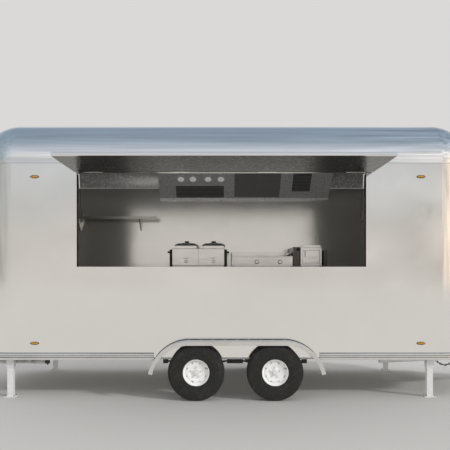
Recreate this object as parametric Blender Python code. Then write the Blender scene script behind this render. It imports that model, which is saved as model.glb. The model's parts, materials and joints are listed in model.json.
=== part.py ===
"""Food trailer: a shell body with rounded ends and roof edges on a tandem-axle chassis.

Metres, +Z up. X runs along the trailer with the hitch at +X, and the serving side
faces -Y. Heights are above the ground. The empty "trailer" carries every piece and
moves the plan's centre, which lies under the middle of the body, so that the origin is
the middle of the whole trailer's plan, on the ground.
"""

import math

import bmesh
import bpy
from mathutils import Matrix, Vector

# Fits and facets
GAP = 0.0003
OVERRUN = 0.006
MERGE = 0.00002
ARC_STEPS = 6
ROUND_SIDES = 16
SMALL_SIDES = 10
WHEEL_SIDES = 24
SMOOTH_ANGLE = math.radians(35)

# Body shell
BODY_LENGTH = 5.20
BODY_WIDTH = 2.10
CORNER_RADIUS = 0.45
WALL = 0.05
WALL_ABOVE_CHASSIS = 0.025
WALL_HEIGHT = 1.944
FLOOR_THICKNESS = 0.045

# Serving window and its flap
WINDOW_FROM_REAR = 1.102
WINDOW_FROM_FRONT = 1.204
WINDOW_HEIGHT = 0.943
WINDOW_BELOW_EAVES = 0.094
FLAP_PAST_REAR = 0.017
FLAP_PAST_FRONT = 0.069
FLAP_REACH = 0.98
FLAP_THICKNESS = 0.035
FLAP_EDGE_ROUND = 0.012
FLAP_PIVOT_OUT = 0.017
FLAP_PIVOT_ABOVE_HEAD = 0.012
FLAP_PIVOT_ABOVE_SKIN = 0.012
FLAP_EDGE_FROM_PIVOT = 0.014
FLAP_HINGES = 4
HINGE_RADIUS = 0.010
HINGE_KNUCKLE = 0.09
HINGE_END_SHARE = 0.06

# Gas struts of the flap
STRUT_INBOARD = 0.045
STRUT_FOOT_IN = 0.013
STRUT_FOOT_BELOW_PIVOT = 0.500
STRUT_EYE_REACH = 0.090
STRUT_EYE_DROP = 0.045
STRUT_TUBE_RADIUS = 0.009
STRUT_TUBE_LENGTH = 0.330
STRUT_ROD_RADIUS = 0.004
STRUT_ROD_INSIDE = 0.16
STRUT_TRAVEL = 0.061
STRUT_BORE_RADIUS = 0.0045
STRUT_EYE_RADIUS = 0.007
STRUT_PLATE = 0.004
STRUT_PLATE_GAP = 0.001
STRUT_PLATE_HALF = 0.014
STRUT_STUD_RADIUS = 0.004
STRUT_STUD_CLEARANCE = 0.0006

# Marker lamps
MARKER_FROM_REAR = 0.681
MARKER_FROM_FRONT = 0.656
MARKER_ABOVE_FOOT = 0.141
MARKER_BELOW_EAVES = 0.137
MARKER_LENGTH = 0.090
MARKER_HEIGHT = 0.032
MARKER_PROUD = 0.011

# Chassis
CHASSIS_BOTTOM_Z = 0.385
CHASSIS_HEIGHT = 0.070
OUTER_RAIL_INSET = 0.105
OUTER_RAIL_WIDTH = 0.090
OUTER_RAIL_END_INSET = 0.375
INNER_RAIL_INSET = 0.73
INNER_RAIL_WIDTH = 0.06
END_MEMBER_INSET = 0.10
END_MEMBER_SHORT = 0.35
CROSS_MEMBERS = 9
CROSS_MEMBER_WIDTH = 0.05

# Skirt rail round the foot of the body
SKIRT_HEIGHT = 0.070
SKIRT_RIDGE = 0.018
SKIRT_END_GAP = 0.005
SKIRT_PROFILE_SHARES = [
    (0.0, 0.0),
    (0.66, 0.0),
    (1.0, 0.10),
    (1.0, 0.34),
    (0.55, 0.42),
    (0.55, 0.58),
    (1.0, 0.66),
    (1.0, 0.90),
    (0.66, 1.0),
    (0.0, 1.0),
]

# Wheels, tyres and axles
WHEELS_X = 0.089
WHEEL_SPACING = 0.774
TYRE_RADIUS = 0.278
TYRE_WIDTH = 0.165
TYRE_FROM_WALL = 0.010
RIM_RADIUS = 0.1305
RIM_WIDTH = 0.142
RIM_WALL = 0.009
RIM_DISC_Y = 0.030
RIM_DISC = 0.012
RIM_SWELL_RADIUS = 0.095
RIM_SWELL = 0.008
HUB_RADIUS = 0.062
HUB_CAP_RADIUS = 0.030
HUB_CAP_HEIGHT = 0.022
HUB_CAP_TAPER_SHARE = 0.9
DRUM_RADIUS = 0.088
DRUM_INNER_Y = 0.070
SPINDLE_RADIUS = 0.020
SPINDLE_CLEARANCE = 0.0006
SPINDLE_END_Y = 0.004
AXLE_RADIUS = 0.030
AXLE_SHOULDER_GAP = 0.0525
TYRE_PROFILE_SHARES = [
    (0.0, 0.84),
    (0.10, 0.93),
    (0.42, 1.0),
    (0.78, 0.95),
    (0.955, 0.80),
    (1.0, 0.60),
]

# Leaf springs
SPRING_INSET = 0.25
SPRING_WIDTH = 0.050
SPRING_LEAF = 0.022
SPRING_END_GAP = 0.057
SPRING_EYE_RISE = 0.034
SPRING_STEPS = 6
SPRING_HANGER_LENGTH = 0.05
SPRING_HANGER_BELOW = 0.02

# Fenders over the wheel pairs
FENDER_ABOVE_TYRE = 0.032
FENDER_PAST_REAR = 0.075
FENDER_PAST_FRONT = 0.100
FENDER_RADIUS = 0.40
FENDER_SWEEP = math.radians(78)
FENDER_PROUD = 0.20
FENDER_SHEET = 0.006
FENDER_LIP = 0.040

# Drop legs
LEG_FROM_REAR = 0.413
LEG_FROM_FRONT = 0.541
LEG_INSET = 0.11
LEG_PIVOT_DROP = 0.060
LEG_WIDTH = 0.060
LEG_ABOVE_PIVOT = 0.030
LEG_FOOT = 0.110
LEG_FOOT_THICKNESS = 0.010
LEG_PIN_Z = 0.045
LEG_PIN_RADIUS = 0.008
LEG_PIN_PROUD = 0.004
LEG_CHEEK = 0.005
LEG_CHEEK_GAP = 0.003
LEG_CHEEK_HALF = 0.036
LEG_CHEEK_BELOW = 0.022
LEG_STUB_RADIUS = 0.010
LEG_STUB_BORE = 0.0108

# Drawbar, coupler and platform
DRAWBAR_UNDER_BODY = 1.00
DRAWBAR_ROOT_INSET = 0.33
DRAWBAR_AHEAD = 1.00
DRAWBAR_TIP_Y = 0.036
DRAWBAR_WIDTH = 0.060
DRAWBAR_HEIGHT = 0.070
COUPLER_REAR_AHEAD = 0.82
COUPLER_BALL_AHEAD = 1.10
COUPLER_HALF = 0.042
COUPLER_BASE = 0.030
COUPLER_HEAD_REAR_AHEAD = 1.00
COUPLER_HEIGHT = 0.075
COUPLER_SOCKET_RADIUS = 0.027
COUPLER_LEVER_HALF = 0.014
COUPLER_LEVER_THICKNESS = 0.012
COUPLER_LEVER_LIFT = 0.022
PLATFORM_AHEAD = 0.13
PLATFORM_LENGTH = 0.40
PLATFORM_HALF = 0.325
PLATFORM_BAR = 0.045
PLATFORM_PLATE = 0.010
PLATFORM_LIP = 0.020

# Jockey wheel at the drawbar
JACK_AHEAD = 0.70
JACK_PLATE_HALF_X = 0.055
JACK_PLATE_HALF_Y = 0.165
JACK_PLATE = 0.012
JACK_TUBE_RADIUS = 0.032
JACK_TUBE_RISE = 0.415
JACK_TUBE_BELOW = 0.012
JACK_TUBE_CAP = 0.020
JACK_POST_RADIUS = 0.0240
JACK_POST_CLEARANCE = 0.0008
JACK_POST_RISE = 0.215
JACK_HANDLE_RADIUS = 0.008
JACK_HANDLE_REACH = 0.11
JACK_ARM_INSET = 0.0047
JACK_GRIP_HEIGHT = 0.09
JACK_GRIP_RADIUS = 0.014
JOCKEY_RADIUS = 0.100
JOCKEY_WIDTH = 0.050
JOCKEY_HUB_RADIUS = 0.060
JOCKEY_DISH = 0.010
JOCKEY_BORE = 0.0086
JOCKEY_PIN_RADIUS = 0.008
JOCKEY_CROWN_GAP = 0.013
JOCKEY_CROWN = 0.012
JOCKEY_CHEEK = 0.006
JOCKEY_CHEEK_GAP = 0.005
JOCKEY_CHEEK_HALF = 0.022

# Rear end
DOOR_FROM_CORNER = 0.23
DOOR_ABOVE_FLOOR = 0.012
DOOR_BELOW_EAVES = 0.064
DOOR_THICKNESS = 0.045
DOOR_CLEARANCE = 0.006
DOOR_PIVOT_OUT = 0.012
DOOR_PIVOT_BESIDE = 0.015
DOOR_HINGE_SHARES = [0.12, 0.5, 0.88]
DOOR_LEAF = 0.045
DOOR_LEAF_THICKNESS = 0.006
DOOR_KNUCKLE = 0.05
DOOR_KNUCKLE_GAP = 0.001
DOOR_WINDOW_SHARE = 0.54
DOOR_WINDOW_HEIGHT = 0.60
DOOR_WINDOW_BELOW_TOP = 0.24
DOOR_GLASS = 0.006
HANDLE_ABOVE_BOTTOM = 0.808
HANDLE_FROM_EDGE = 0.06
HANDLE_PLATE_HALF = 0.022
HANDLE_PLATE_HEIGHT = 0.16
HANDLE_PLATE = 0.006
HANDLE_STEM = 0.045
HANDLE_RADIUS = 0.008
HANDLE_LENGTH = 0.11
BUMPER_REAR_OUT = 0.10
BUMPER_DEPTH = 0.05
BUMPER_HEIGHT = 0.055
BUMPER_INSET = 0.27
BUMPER_ARM_LENGTH = 0.30
BUMPER_ARM_WIDTH = 0.05
LAMP_FROM_CORNER = 0.10
LAMP_WIDTH = 0.095
LAMP_ABOVE_FOOT = 0.29
LAMP_HEIGHT = 0.19
LAMP_PROUD = 0.035
LAMP_ROUND = 0.016

# Drain pipe under the rear corner
DRAIN_INSET = 0.20
DRAIN_DROP = 0.044
DRAIN_RADIUS = 0.017
DRAIN_REAR_INSET = 0.14
DRAIN_PLAIN_LENGTH = 0.475
DRAIN_RIBBED_LENGTH = 0.123
DRAIN_RIB = 0.004
DRAIN_RIBS = 6
DRAIN_RIB_SHARES = [(0.25, 1.0), (0.5, 1.0), (0.75, 0.0)]
DRAIN_CLIP_LENGTH = 0.03
DRAIN_CLIP_RISE = 0.075
DRAIN_CLIP_SHARES = [0.10, 0.88]
VALVE_RADIUS = 0.021
VALVE_LENGTH = 0.045
VALVE_LEVER = 0.012
VALVE_LEVER_DROP = 0.030
VALVE_BODY_SHARE = 0.8
VALVE_NOSE_SHARE = 0.7

# Roof vent
VENT_X = 0.24
VENT_FROM_EDGE = 0.35
VENT_RADIUS = 0.165
VENT_HEIGHT = 0.095
VENT_NECK_SHARE = 0.72
VENT_FLANGE = 0.008
VENT_CAP = 0.035
VENT_FLANGE_SHARE = 0.92
VENT_CAP_SHARES = [(1.0, 0.0), (0.97, 0.45), (0.75, 0.85), (0.35, 1.0), (0.0, 1.0)]

# Back bench
BENCH_FROM_REAR = 0.83
BENCH_FROM_FRONT = 0.93
BENCH_DEPTH = 0.60
BENCH_HEIGHT = 0.82
BENCH_TOP = 0.035
BENCH_SHELF_HEIGHT = 0.22
BENCH_SHELF = 0.025
BENCH_LEG = 0.040
BENCH_LEG_INSET = 0.03
BENCH_LEG_ROWS = 4

# Serving counter below the window
COUNTER_PAST_REAR = 0.102
COUNTER_PAST_FRONT = 0.104
COUNTER_DEPTH = 0.38
COUNTER_BELOW_SILL = 0.062
COUNTER_TOP = 0.030
COUNTER_LIP = 0.050
COUNTER_GUSSET = 0.020
COUNTER_GUSSET_DROP = 0.26
COUNTER_GUSSET_REACH = 0.30
COUNTER_GUSSET_SHARES = [0.08, 0.5, 0.92]

# Wall shelf
SHELF_FROM_REAR = 0.45
SHELF_LENGTH = 1.226
SHELF_DEPTH = 0.30
SHELF_BELOW_EAVES = 0.388
SHELF_SHEET = 0.016
SHELF_LIP = 0.034
SHELF_BRACKET_DROP = 0.15
SHELF_BRACKET_REACH = 0.22
SHELF_BRACKET = 0.012
SHELF_BRACKET_SHARES = [0.18, 0.82]

# Extractor hood
HOOD_LENGTH = 2.169
HOOD_SHORT_OF_WINDOW = 0.071
HOOD_BELOW_EAVES = 0.164
HOOD_DEPTH = 0.77
HOOD_TOP_DROP = 0.012
HOOD_LIP = 0.05
HOOD_LIP_HEIGHT = 0.03

# Cooking equipment on the bench
KIT_SET_BACK = 0.02
KIT_DEPTH = 0.50
KIT_FROM_BENCH_FRONT = 2.274
FRYER_LENGTH = 0.637
FRYER_HEIGHT = 0.2325
FRYER_BAR = 0.030
FRYER_BAR_DROP = 0.012
FRYER_GRIP = 0.028
FRYER_GRIP_HEIGHT = 0.024
FRYER_GRIP_UP = 0.176
FRYER_GRIP_DEPTH = 0.10
TANK_WALL = 0.014
TANK_RISE = 0.036
LID_WIDTH = 0.279
LID_INSET = 0.030
LID_PITCH = 0.334
LID_THICKNESS = 0.030
LID_DEPTH = 0.36
LID_CROWN = 0.022
LID_CROWN_SHARE = 0.86
LID_KNOB_RADIUS = 0.030
LID_KNOB_HEIGHT = 0.031
LID_KNOB_STEM_SHARE = 0.5
LID_KNOB_SHARES = [(0.5, 0.3), (1.0, 0.5), (0.9, 1.0), (0.0, 1.0)]
LID_SET_BACK = 0.04
GRIDDLE_AFTER_FRYER = 0.089
GRIDDLE_LENGTH = 0.740
GRIDDLE_HEIGHT = 0.1925
GRIDDLE_SPLASH = 0.055
GRIDDLE_SPLASH_SHEET = 0.012
GRIDDLE_SPLASH_FOOT_SHARE = 0.25
GRIDDLE_SPLASH_HEAD_SHARE = 0.33
GRIDDLE_KNOB_RADIUS = 0.026
GRIDDLE_KNOB_PROUD = 0.028
GRIDDLE_KNOB_UP = 0.068
GRIDDLE_KNOB_SHARES = [0.41, 0.79]
WARMER_AFTER_GRIDDLE = 0.006
WARMER_POST_WIDTH = 0.082
WARMER_POST_HEIGHT = 0.2495
WARMER_AFTER_POST = 0.006
WARMER_LENGTH = 0.260
WARMER_HEIGHT = 0.274
WARMER_END_GAP = 0.021
WARMER_END_WIDTH = 0.040
WARMER_END_HEIGHT = 0.207
WARMER_BASE = 0.030

# What follows from the sizes above
HALF_LENGTH = BODY_LENGTH / 2
HALF_WIDTH = BODY_WIDTH / 2
FLAT_X = HALF_LENGTH - CORNER_RADIUS
FLAT_Y = HALF_WIDTH - CORNER_RADIUS
INNER_RADIUS = CORNER_RADIUS - WALL
INNER_X = HALF_LENGTH - WALL
INNER_Y = HALF_WIDTH - WALL
WALL_BOTTOM_Z = CHASSIS_BOTTOM_Z + WALL_ABOVE_CHASSIS
EAVES_Z = WALL_BOTTOM_Z + WALL_HEIGHT
ROOF_TOP_Z = EAVES_Z + CORNER_RADIUS
CHASSIS_TOP_Z = CHASSIS_BOTTOM_Z + CHASSIS_HEIGHT
FLOOR_TOP_Z = CHASSIS_TOP_Z + FLOOR_THICKNESS
WINDOW_REAR_X = WINDOW_FROM_REAR - HALF_LENGTH
WINDOW_FRONT_X = HALF_LENGTH - WINDOW_FROM_FRONT
WINDOW_HEAD_Z = EAVES_Z - WINDOW_BELOW_EAVES
WINDOW_SILL_Z = WINDOW_HEAD_Z - WINDOW_HEIGHT
FLAP_REAR_X = WINDOW_REAR_X - FLAP_PAST_REAR
FLAP_FRONT_X = WINDOW_FRONT_X + FLAP_PAST_FRONT
FLAP_PIVOT_Y = -(HALF_WIDTH + FLAP_PIVOT_OUT)
FLAP_PIVOT_Z = WINDOW_HEAD_Z + FLAP_PIVOT_ABOVE_HEAD
FLAP_OUTER_Y = -(HALF_WIDTH + FLAP_REACH)
STRUT_FOOT_Z = FLAP_PIVOT_Z - STRUT_FOOT_BELOW_PIVOT
MARKER_PLACES_X = [MARKER_FROM_REAR - HALF_LENGTH, HALF_LENGTH - MARKER_FROM_FRONT]
MARKER_PLACES_Z = [WALL_BOTTOM_Z + MARKER_ABOVE_FOOT, EAVES_Z - MARKER_BELOW_EAVES]
OUTER_RAIL_Y = HALF_WIDTH - OUTER_RAIL_INSET
OUTER_RAIL_END_X = HALF_LENGTH - OUTER_RAIL_END_INSET
INNER_RAIL_Y = HALF_WIDTH - INNER_RAIL_INSET
END_MEMBER_X = HALF_LENGTH - END_MEMBER_INSET
END_MEMBER_HALF = HALF_WIDTH - END_MEMBER_SHORT
WHEEL_REAR_X = WHEELS_X - WHEEL_SPACING / 2
WHEEL_FRONT_X = WHEELS_X + WHEEL_SPACING / 2
WHEEL_Y = HALF_WIDTH + TYRE_FROM_WALL + TYRE_WIDTH / 2
AXLE_HALF = WHEEL_Y - DRUM_INNER_Y - AXLE_SHOULDER_GAP
SPRING_Y = HALF_WIDTH - SPRING_INSET
SPRING_HALF_SPAN = WHEEL_SPACING / 2 - SPRING_END_GAP
FENDER_TOP_Z = TYRE_RADIUS * 2 + FENDER_ABOVE_TYRE
FENDER_FLAT_REAR_X = WHEEL_REAR_X - FENDER_PAST_REAR
FENDER_FLAT_FRONT_X = WHEEL_FRONT_X + FENDER_PAST_FRONT
FENDER_OUTER_Y = HALF_WIDTH + FENDER_PROUD
LEG_REAR_X = LEG_FROM_REAR - HALF_LENGTH
LEG_FRONT_X = HALF_LENGTH - LEG_FROM_FRONT
LEG_Y = HALF_WIDTH - LEG_INSET
LEG_PIVOT_Z = CHASSIS_BOTTOM_Z - LEG_PIVOT_DROP
DRAWBAR_TOP_Z = CHASSIS_BOTTOM_Z - GAP
DRAWBAR_ROOT_X = HALF_LENGTH - DRAWBAR_UNDER_BODY
DRAWBAR_ROOT_Y = HALF_WIDTH - DRAWBAR_ROOT_INSET
DRAWBAR_TIP_X = HALF_LENGTH + DRAWBAR_AHEAD
COUPLER_REAR_X = HALF_LENGTH + COUPLER_REAR_AHEAD
COUPLER_BALL_X = HALF_LENGTH + COUPLER_BALL_AHEAD
COUPLER_HEAD_REAR_X = HALF_LENGTH + COUPLER_HEAD_REAR_AHEAD
COUPLER_NOSE_X = COUPLER_BALL_X + COUPLER_HALF
PLATFORM_REAR_X = HALF_LENGTH + PLATFORM_AHEAD
PLATFORM_FRONT_X = PLATFORM_REAR_X + PLATFORM_LENGTH
JACK_X = HALF_LENGTH + JACK_AHEAD
JACK_TUBE_TOP_Z = CHASSIS_BOTTOM_Z + JACK_TUBE_RISE
JACK_POST_TOP_Z = CHASSIS_BOTTOM_Z + JACK_POST_RISE
JOCKEY_CROWN_Z = JOCKEY_RADIUS * 2 + JOCKEY_CROWN_GAP
DOOR_HALF = FLAT_Y - DOOR_FROM_CORNER
DOOR_BOTTOM_Z = FLOOR_TOP_Z + DOOR_ABOVE_FLOOR
DOOR_TOP_Z = EAVES_Z - DOOR_BELOW_EAVES
DOOR_PIVOT_X = -(HALF_LENGTH + DOOR_PIVOT_OUT)
DOOR_PIVOT_Y = DOOR_HALF + DOOR_PIVOT_BESIDE
DOOR_WINDOW_HALF = DOOR_HALF * DOOR_WINDOW_SHARE
DOOR_WINDOW_TOP_Z = DOOR_TOP_Z - DOOR_WINDOW_BELOW_TOP
DOOR_WINDOW_BOTTOM_Z = DOOR_WINDOW_TOP_Z - DOOR_WINDOW_HEIGHT
HANDLE_Z = DOOR_BOTTOM_Z + HANDLE_ABOVE_BOTTOM
BUMPER_REAR_X = -(HALF_LENGTH + BUMPER_REAR_OUT)
BUMPER_HALF = HALF_WIDTH - BUMPER_INSET
LAMP_Y = FLAT_Y - LAMP_FROM_CORNER
LAMP_BOTTOM_Z = WALL_BOTTOM_Z + LAMP_ABOVE_FOOT
DRAIN_Y = -(HALF_WIDTH - DRAIN_INSET)
DRAIN_Z = CHASSIS_BOTTOM_Z - DRAIN_DROP
DRAIN_REAR_X = DRAIN_REAR_INSET - HALF_LENGTH
DRAIN_RIBS_X = DRAIN_REAR_X + DRAIN_PLAIN_LENGTH
DRAIN_FRONT_X = DRAIN_RIBS_X + DRAIN_RIBBED_LENGTH
VENT_Y = FLAT_Y - VENT_FROM_EDGE
BENCH_REAR_X = BENCH_FROM_REAR - INNER_X
BENCH_FRONT_X = INNER_X - BENCH_FROM_FRONT
BENCH_FRONT_Y = INNER_Y - BENCH_DEPTH
BENCH_TOP_Z = FLOOR_TOP_Z + BENCH_HEIGHT
BENCH_SHELF_Z = FLOOR_TOP_Z + BENCH_SHELF_HEIGHT
BENCH_REST_Z = BENCH_TOP_Z + GAP
COUNTER_REAR_X = WINDOW_REAR_X - COUNTER_PAST_REAR
COUNTER_FRONT_X = WINDOW_FRONT_X + COUNTER_PAST_FRONT
COUNTER_TOP_Z = WINDOW_SILL_Z - COUNTER_BELOW_SILL
SHELF_REAR_X = SHELF_FROM_REAR - INNER_X
SHELF_FRONT_X = SHELF_REAR_X + SHELF_LENGTH
SHELF_FRONT_Y = INNER_Y - SHELF_DEPTH
SHELF_TOP_Z = EAVES_Z - SHELF_BELOW_EAVES
HOOD_FRONT_X = WINDOW_FRONT_X - HOOD_SHORT_OF_WINDOW
HOOD_REAR_X = HOOD_FRONT_X - HOOD_LENGTH
HOOD_BOTTOM_Z = EAVES_Z - HOOD_BELOW_EAVES
HOOD_TOP_Y = INNER_Y - HOOD_DEPTH
KIT_FRONT_Y = BENCH_FRONT_Y + KIT_SET_BACK
FRYER_REAR_X = BENCH_FRONT_X - KIT_FROM_BENCH_FRONT
FRYER_FRONT_X = FRYER_REAR_X + FRYER_LENGTH
FRYER_TOP_Z = BENCH_TOP_Z + FRYER_HEIGHT
FRYER_GRIP_Z = BENCH_TOP_Z + FRYER_GRIP_UP
LID_REAR_X = FRYER_REAR_X + LID_INSET
GRIDDLE_REAR_X = FRYER_FRONT_X + GRIDDLE_AFTER_FRYER
GRIDDLE_FRONT_X = GRIDDLE_REAR_X + GRIDDLE_LENGTH
GRIDDLE_TOP_Z = BENCH_TOP_Z + GRIDDLE_HEIGHT
GRIDDLE_KNOB_Z = BENCH_TOP_Z + GRIDDLE_KNOB_UP
WARMER_POST_X = GRIDDLE_FRONT_X + WARMER_AFTER_GRIDDLE
WARMER_POST_TOP_Z = BENCH_TOP_Z + WARMER_POST_HEIGHT
WARMER_REAR_X = WARMER_POST_X + WARMER_POST_WIDTH + WARMER_AFTER_POST
WARMER_FRONT_X = WARMER_REAR_X + WARMER_LENGTH
WARMER_TOP_Z = BENCH_TOP_Z + WARMER_HEIGHT
WARMER_END_X = WARMER_FRONT_X + WARMER_END_GAP
WARMER_END_TOP_Z = BENCH_TOP_Z + WARMER_END_HEIGHT
MIDDLE_X = (COUPLER_NOSE_X + BUMPER_REAR_X) / 2
MIDDLE_Y = (FLAP_OUTER_Y + FENDER_OUTER_Y) / 2


# Scene and materials
def clear_scene():
    for old in list(bpy.data.objects):
        bpy.data.objects.remove(old, do_unlink=True)


def make_look(name, colour, roughness, metallic):
    look = bpy.data.materials.new(name)
    look.use_nodes = True
    shader = look.node_tree.nodes["Principled BSDF"]
    shader.inputs["Base Color"].default_value = (*colour, 1.0)
    shader.inputs["Roughness"].default_value = roughness
    shader.inputs["Metallic"].default_value = metallic
    look.diffuse_color = (*colour, 1.0)
    return look


clear_scene()
LOOKS = {
    "steel": make_look("polished_steel", (0.62, 0.61, 0.59), 0.22, 1.0),
    "brushed": make_look("brushed_steel", (0.55, 0.54, 0.52), 0.38, 1.0),
    "aluminium": make_look("aluminium", (0.66, 0.66, 0.65), 0.34, 1.0),
    "zinc": make_look("galvanised_steel", (0.47, 0.48, 0.48), 0.48, 0.9),
    "black": make_look("black_plastic", (0.03, 0.03, 0.03), 0.45, 0.0),
    "iron": make_look("dark_iron", (0.10, 0.10, 0.10), 0.55, 0.7),
    "tyre": make_look("tyre_rubber", (0.03, 0.03, 0.03), 0.75, 0.0),
    "rim": make_look("painted_rim", (0.62, 0.62, 0.61), 0.40, 0.4),
    "floor": make_look("tread_floor", (0.42, 0.42, 0.41), 0.50, 0.8),
    "red": make_look("red_lens", (0.55, 0.02, 0.02), 0.20, 0.0),
    "glass": make_look("window_glass", (0.75, 0.82, 0.82), 0.05, 0.0),
    "pipe": make_look("pale_pipe", (0.68, 0.68, 0.66), 0.45, 0.0),
}

TRAILER = bpy.data.objects.new("trailer", None)
TRAILER.location = (-MIDDLE_X, -MIDDLE_Y, 0.0)
bpy.context.scene.collection.objects.link(TRAILER)


# Shapes, each a closed bmesh in the trailer's own frame
def finish_shape(shape):
    bmesh.ops.recalc_face_normals(shape, faces=shape.faces)
    return shape


def prism(outline, axis, low, high):
    """An outline swept along an axis: (y, z) points along X, (x, z) along Y, (x, y) along Z."""
    shape = bmesh.new()
    ends = []
    for along in (low, high):
        ring = []
        for first, second in outline:
            place = [first, second]
            place.insert(axis, along)
            ring.append(shape.verts.new(place))
        ends.append(ring)
    shape.faces.new(ends[0])
    shape.faces.new(list(reversed(ends[1])))
    count = len(outline)
    for index in range(count):
        after = (index + 1) % count
        corners = (ends[0][index], ends[1][index], ends[1][after], ends[0][after])
        shape.faces.new(corners)
    return finish_shape(shape)


def box(low_x, high_x, low_y, high_y, low_z, high_z):
    outline = [(low_x, low_y), (high_x, low_y), (high_x, high_y), (low_x, high_y)]
    return prism(outline, 2, low_z, high_z)


def arc(centre, radius, start, end, steps):
    points = []
    for step in range(steps + 1):
        angle = start + (end - start) * step / steps
        points.append((centre[0] + radius * math.cos(angle), centre[1] + radius * math.sin(angle)))
    return points


def circle(centre, radius, sides):
    return arc(centre, radius, 0.0, math.tau, sides)[:-1]


def ellipse(centre, half_first, half_second, sides):
    points = []
    for first, second in circle((0.0, 0.0), 1.0, sides):
        points.append((centre[0] + half_first * first, centre[1] + half_second * second))
    return points


def rounded_rectangle(half_x, half_y, radius, steps):
    points = []
    for corner, (side_x, side_y) in enumerate(((1, 1), (-1, 1), (-1, -1), (1, -1))):
        centre = (side_x * (half_x - radius), side_y * (half_y - radius))
        start = corner * math.pi / 2
        points += arc(centre, radius, start, start + math.pi / 2, steps)
    return points


def lathe(profile, axis, centre, sides, ring=False):
    """A profile of (radius, along) points turned about an axis through centre."""
    shape = bmesh.new()
    across = [index for index in range(3) if index != axis]
    columns = []
    for side in range(sides):
        angle = math.tau * side / sides
        column = []
        for radius, along in profile:
            place = [0.0, 0.0, 0.0]
            place[across[0]] = centre[across[0]] + radius * math.cos(angle)
            place[across[1]] = centre[across[1]] + radius * math.sin(angle)
            place[axis] = centre[axis] + along
            column.append(shape.verts.new(place))
        columns.append(column)
    spans = len(profile) if ring else len(profile) - 1
    for side in range(sides):
        here = columns[side]
        there = columns[(side + 1) % sides]
        for span in range(spans):
            after = (span + 1) % len(profile)
            shape.faces.new((here[span], here[after], there[after], there[span]))
    bmesh.ops.remove_doubles(shape, verts=shape.verts, dist=MERGE)
    return finish_shape(shape)


def rod(start, end, radius, sides):
    """A round bar between two points."""
    start = Vector(start)
    span = Vector(end) - start
    shape = prism(circle((0.0, 0.0), radius, sides), 2, 0.0, span.length)
    turn = Vector((0, 0, 1)).rotation_difference(span).to_matrix().to_4x4()
    bmesh.ops.transform(shape, matrix=Matrix.Translation(start) @ turn, verts=shape.verts)
    return finish_shape(shape)


def mirrored(shape, axis):
    copy = shape.copy()
    for vert in copy.verts:
        vert.co[axis] = -vert.co[axis]
    return finish_shape(copy)


# Objects
def into_object(name, shape, origin):
    mesh = bpy.data.meshes.new(name)
    bmesh.ops.translate(shape, vec=[-value for value in origin], verts=shape.verts)
    shape.to_mesh(mesh)
    shape.free()
    return bpy.data.objects.new(name, mesh)


def boolean(target, helpers, operation):
    """Joins or cuts the target with hidden helper shapes."""
    group = bpy.data.collections.new(f"{target.name}_{operation.lower()}")
    bpy.context.scene.collection.children.link(group)
    for number, shape in enumerate(helpers):
        helper = into_object(f"{group.name}_{number}", shape, (0, 0, 0))
        helper.parent = TRAILER
        helper.hide_render = True
        helper.display_type = "WIRE"
        group.objects.link(helper)
    step = target.modifiers.new(operation.title(), "BOOLEAN")
    step.operation = operation
    step.solver = "EXACT"
    step.operand_type = "COLLECTION"
    step.collection = group


def piece(name, look, shapes, cuts=(), origin=(0, 0, 0), parent=None):
    """One named object: the first shape, with the others joined on and the cuts taken out."""
    first, *others = shapes
    made = into_object(name, first, origin)
    made.location = origin
    made.parent = parent or TRAILER
    made.data.materials.append(LOOKS[look])
    bpy.context.scene.collection.objects.link(made)
    made.data.shade_smooth()
    made.data.set_sharp_from_angle(angle=SMOOTH_ANGLE)
    if others:
        boolean(made, others, "UNION")
    if cuts:
        boolean(made, cuts, "DIFFERENCE")
    return made


# Body shell
def end_outline(side):
    """Plan of a U-shaped end wall with quarter-round corners, side +1 front or -1 rear."""
    outer = arc((FLAT_X, FLAT_Y), CORNER_RADIUS, math.pi / 2, 0.0, ARC_STEPS)
    inner = arc((FLAT_X, FLAT_Y), INNER_RADIUS, math.pi / 2, 0.0, ARC_STEPS)
    outer += [(x, -y) for x, y in reversed(outer)]
    inner += [(x, -y) for x, y in reversed(inner)]
    return [(side * x, y) for x, y in outer + list(reversed(inner))]


def door_hinge_heights():
    return [DOOR_BOTTOM_Z + share * (DOOR_TOP_Z - DOOR_BOTTOM_Z) for share in DOOR_HINGE_SHARES]


def knuckle_ends(middle, length, gap):
    """The fixed knuckles on each side of a moving one."""
    half = length / 2
    return [(middle - length - gap, middle - half - gap), (middle + half + gap, middle + length + gap)]


def build_front_end():
    shape = prism(end_outline(1), 2, WALL_BOTTOM_Z, EAVES_Z - GAP)
    piece("front_end", "steel", [shape])


def build_rear_end():
    shapes = [prism(end_outline(-1), 2, WALL_BOTTOM_Z, EAVES_Z - GAP)]
    outside_x = -HALF_LENGTH
    for height in door_hinge_heights():
        for low, high in knuckle_ends(height, DOOR_KNUCKLE, DOOR_KNUCKLE_GAP):
            barrel = circle((DOOR_PIVOT_X, DOOR_PIVOT_Y), HINGE_RADIUS, SMALL_SIDES)
            shapes.append(prism(barrel, 2, low, high))
            leaf_x = outside_x - DOOR_LEAF_THICKNESS
            shapes.append(
                box(leaf_x, outside_x + OVERRUN, DOOR_PIVOT_Y, DOOR_PIVOT_Y + DOOR_LEAF, low, high)
            )
    doorway = box(
        outside_x - OVERRUN,
        outside_x + WALL + OVERRUN,
        -DOOR_HALF - DOOR_CLEARANCE,
        DOOR_HALF + DOOR_CLEARANCE,
        DOOR_BOTTOM_Z - DOOR_CLEARANCE,
        DOOR_TOP_Z + DOOR_CLEARANCE,
    )
    piece("rear_end", "steel", shapes, [doorway])


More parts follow.
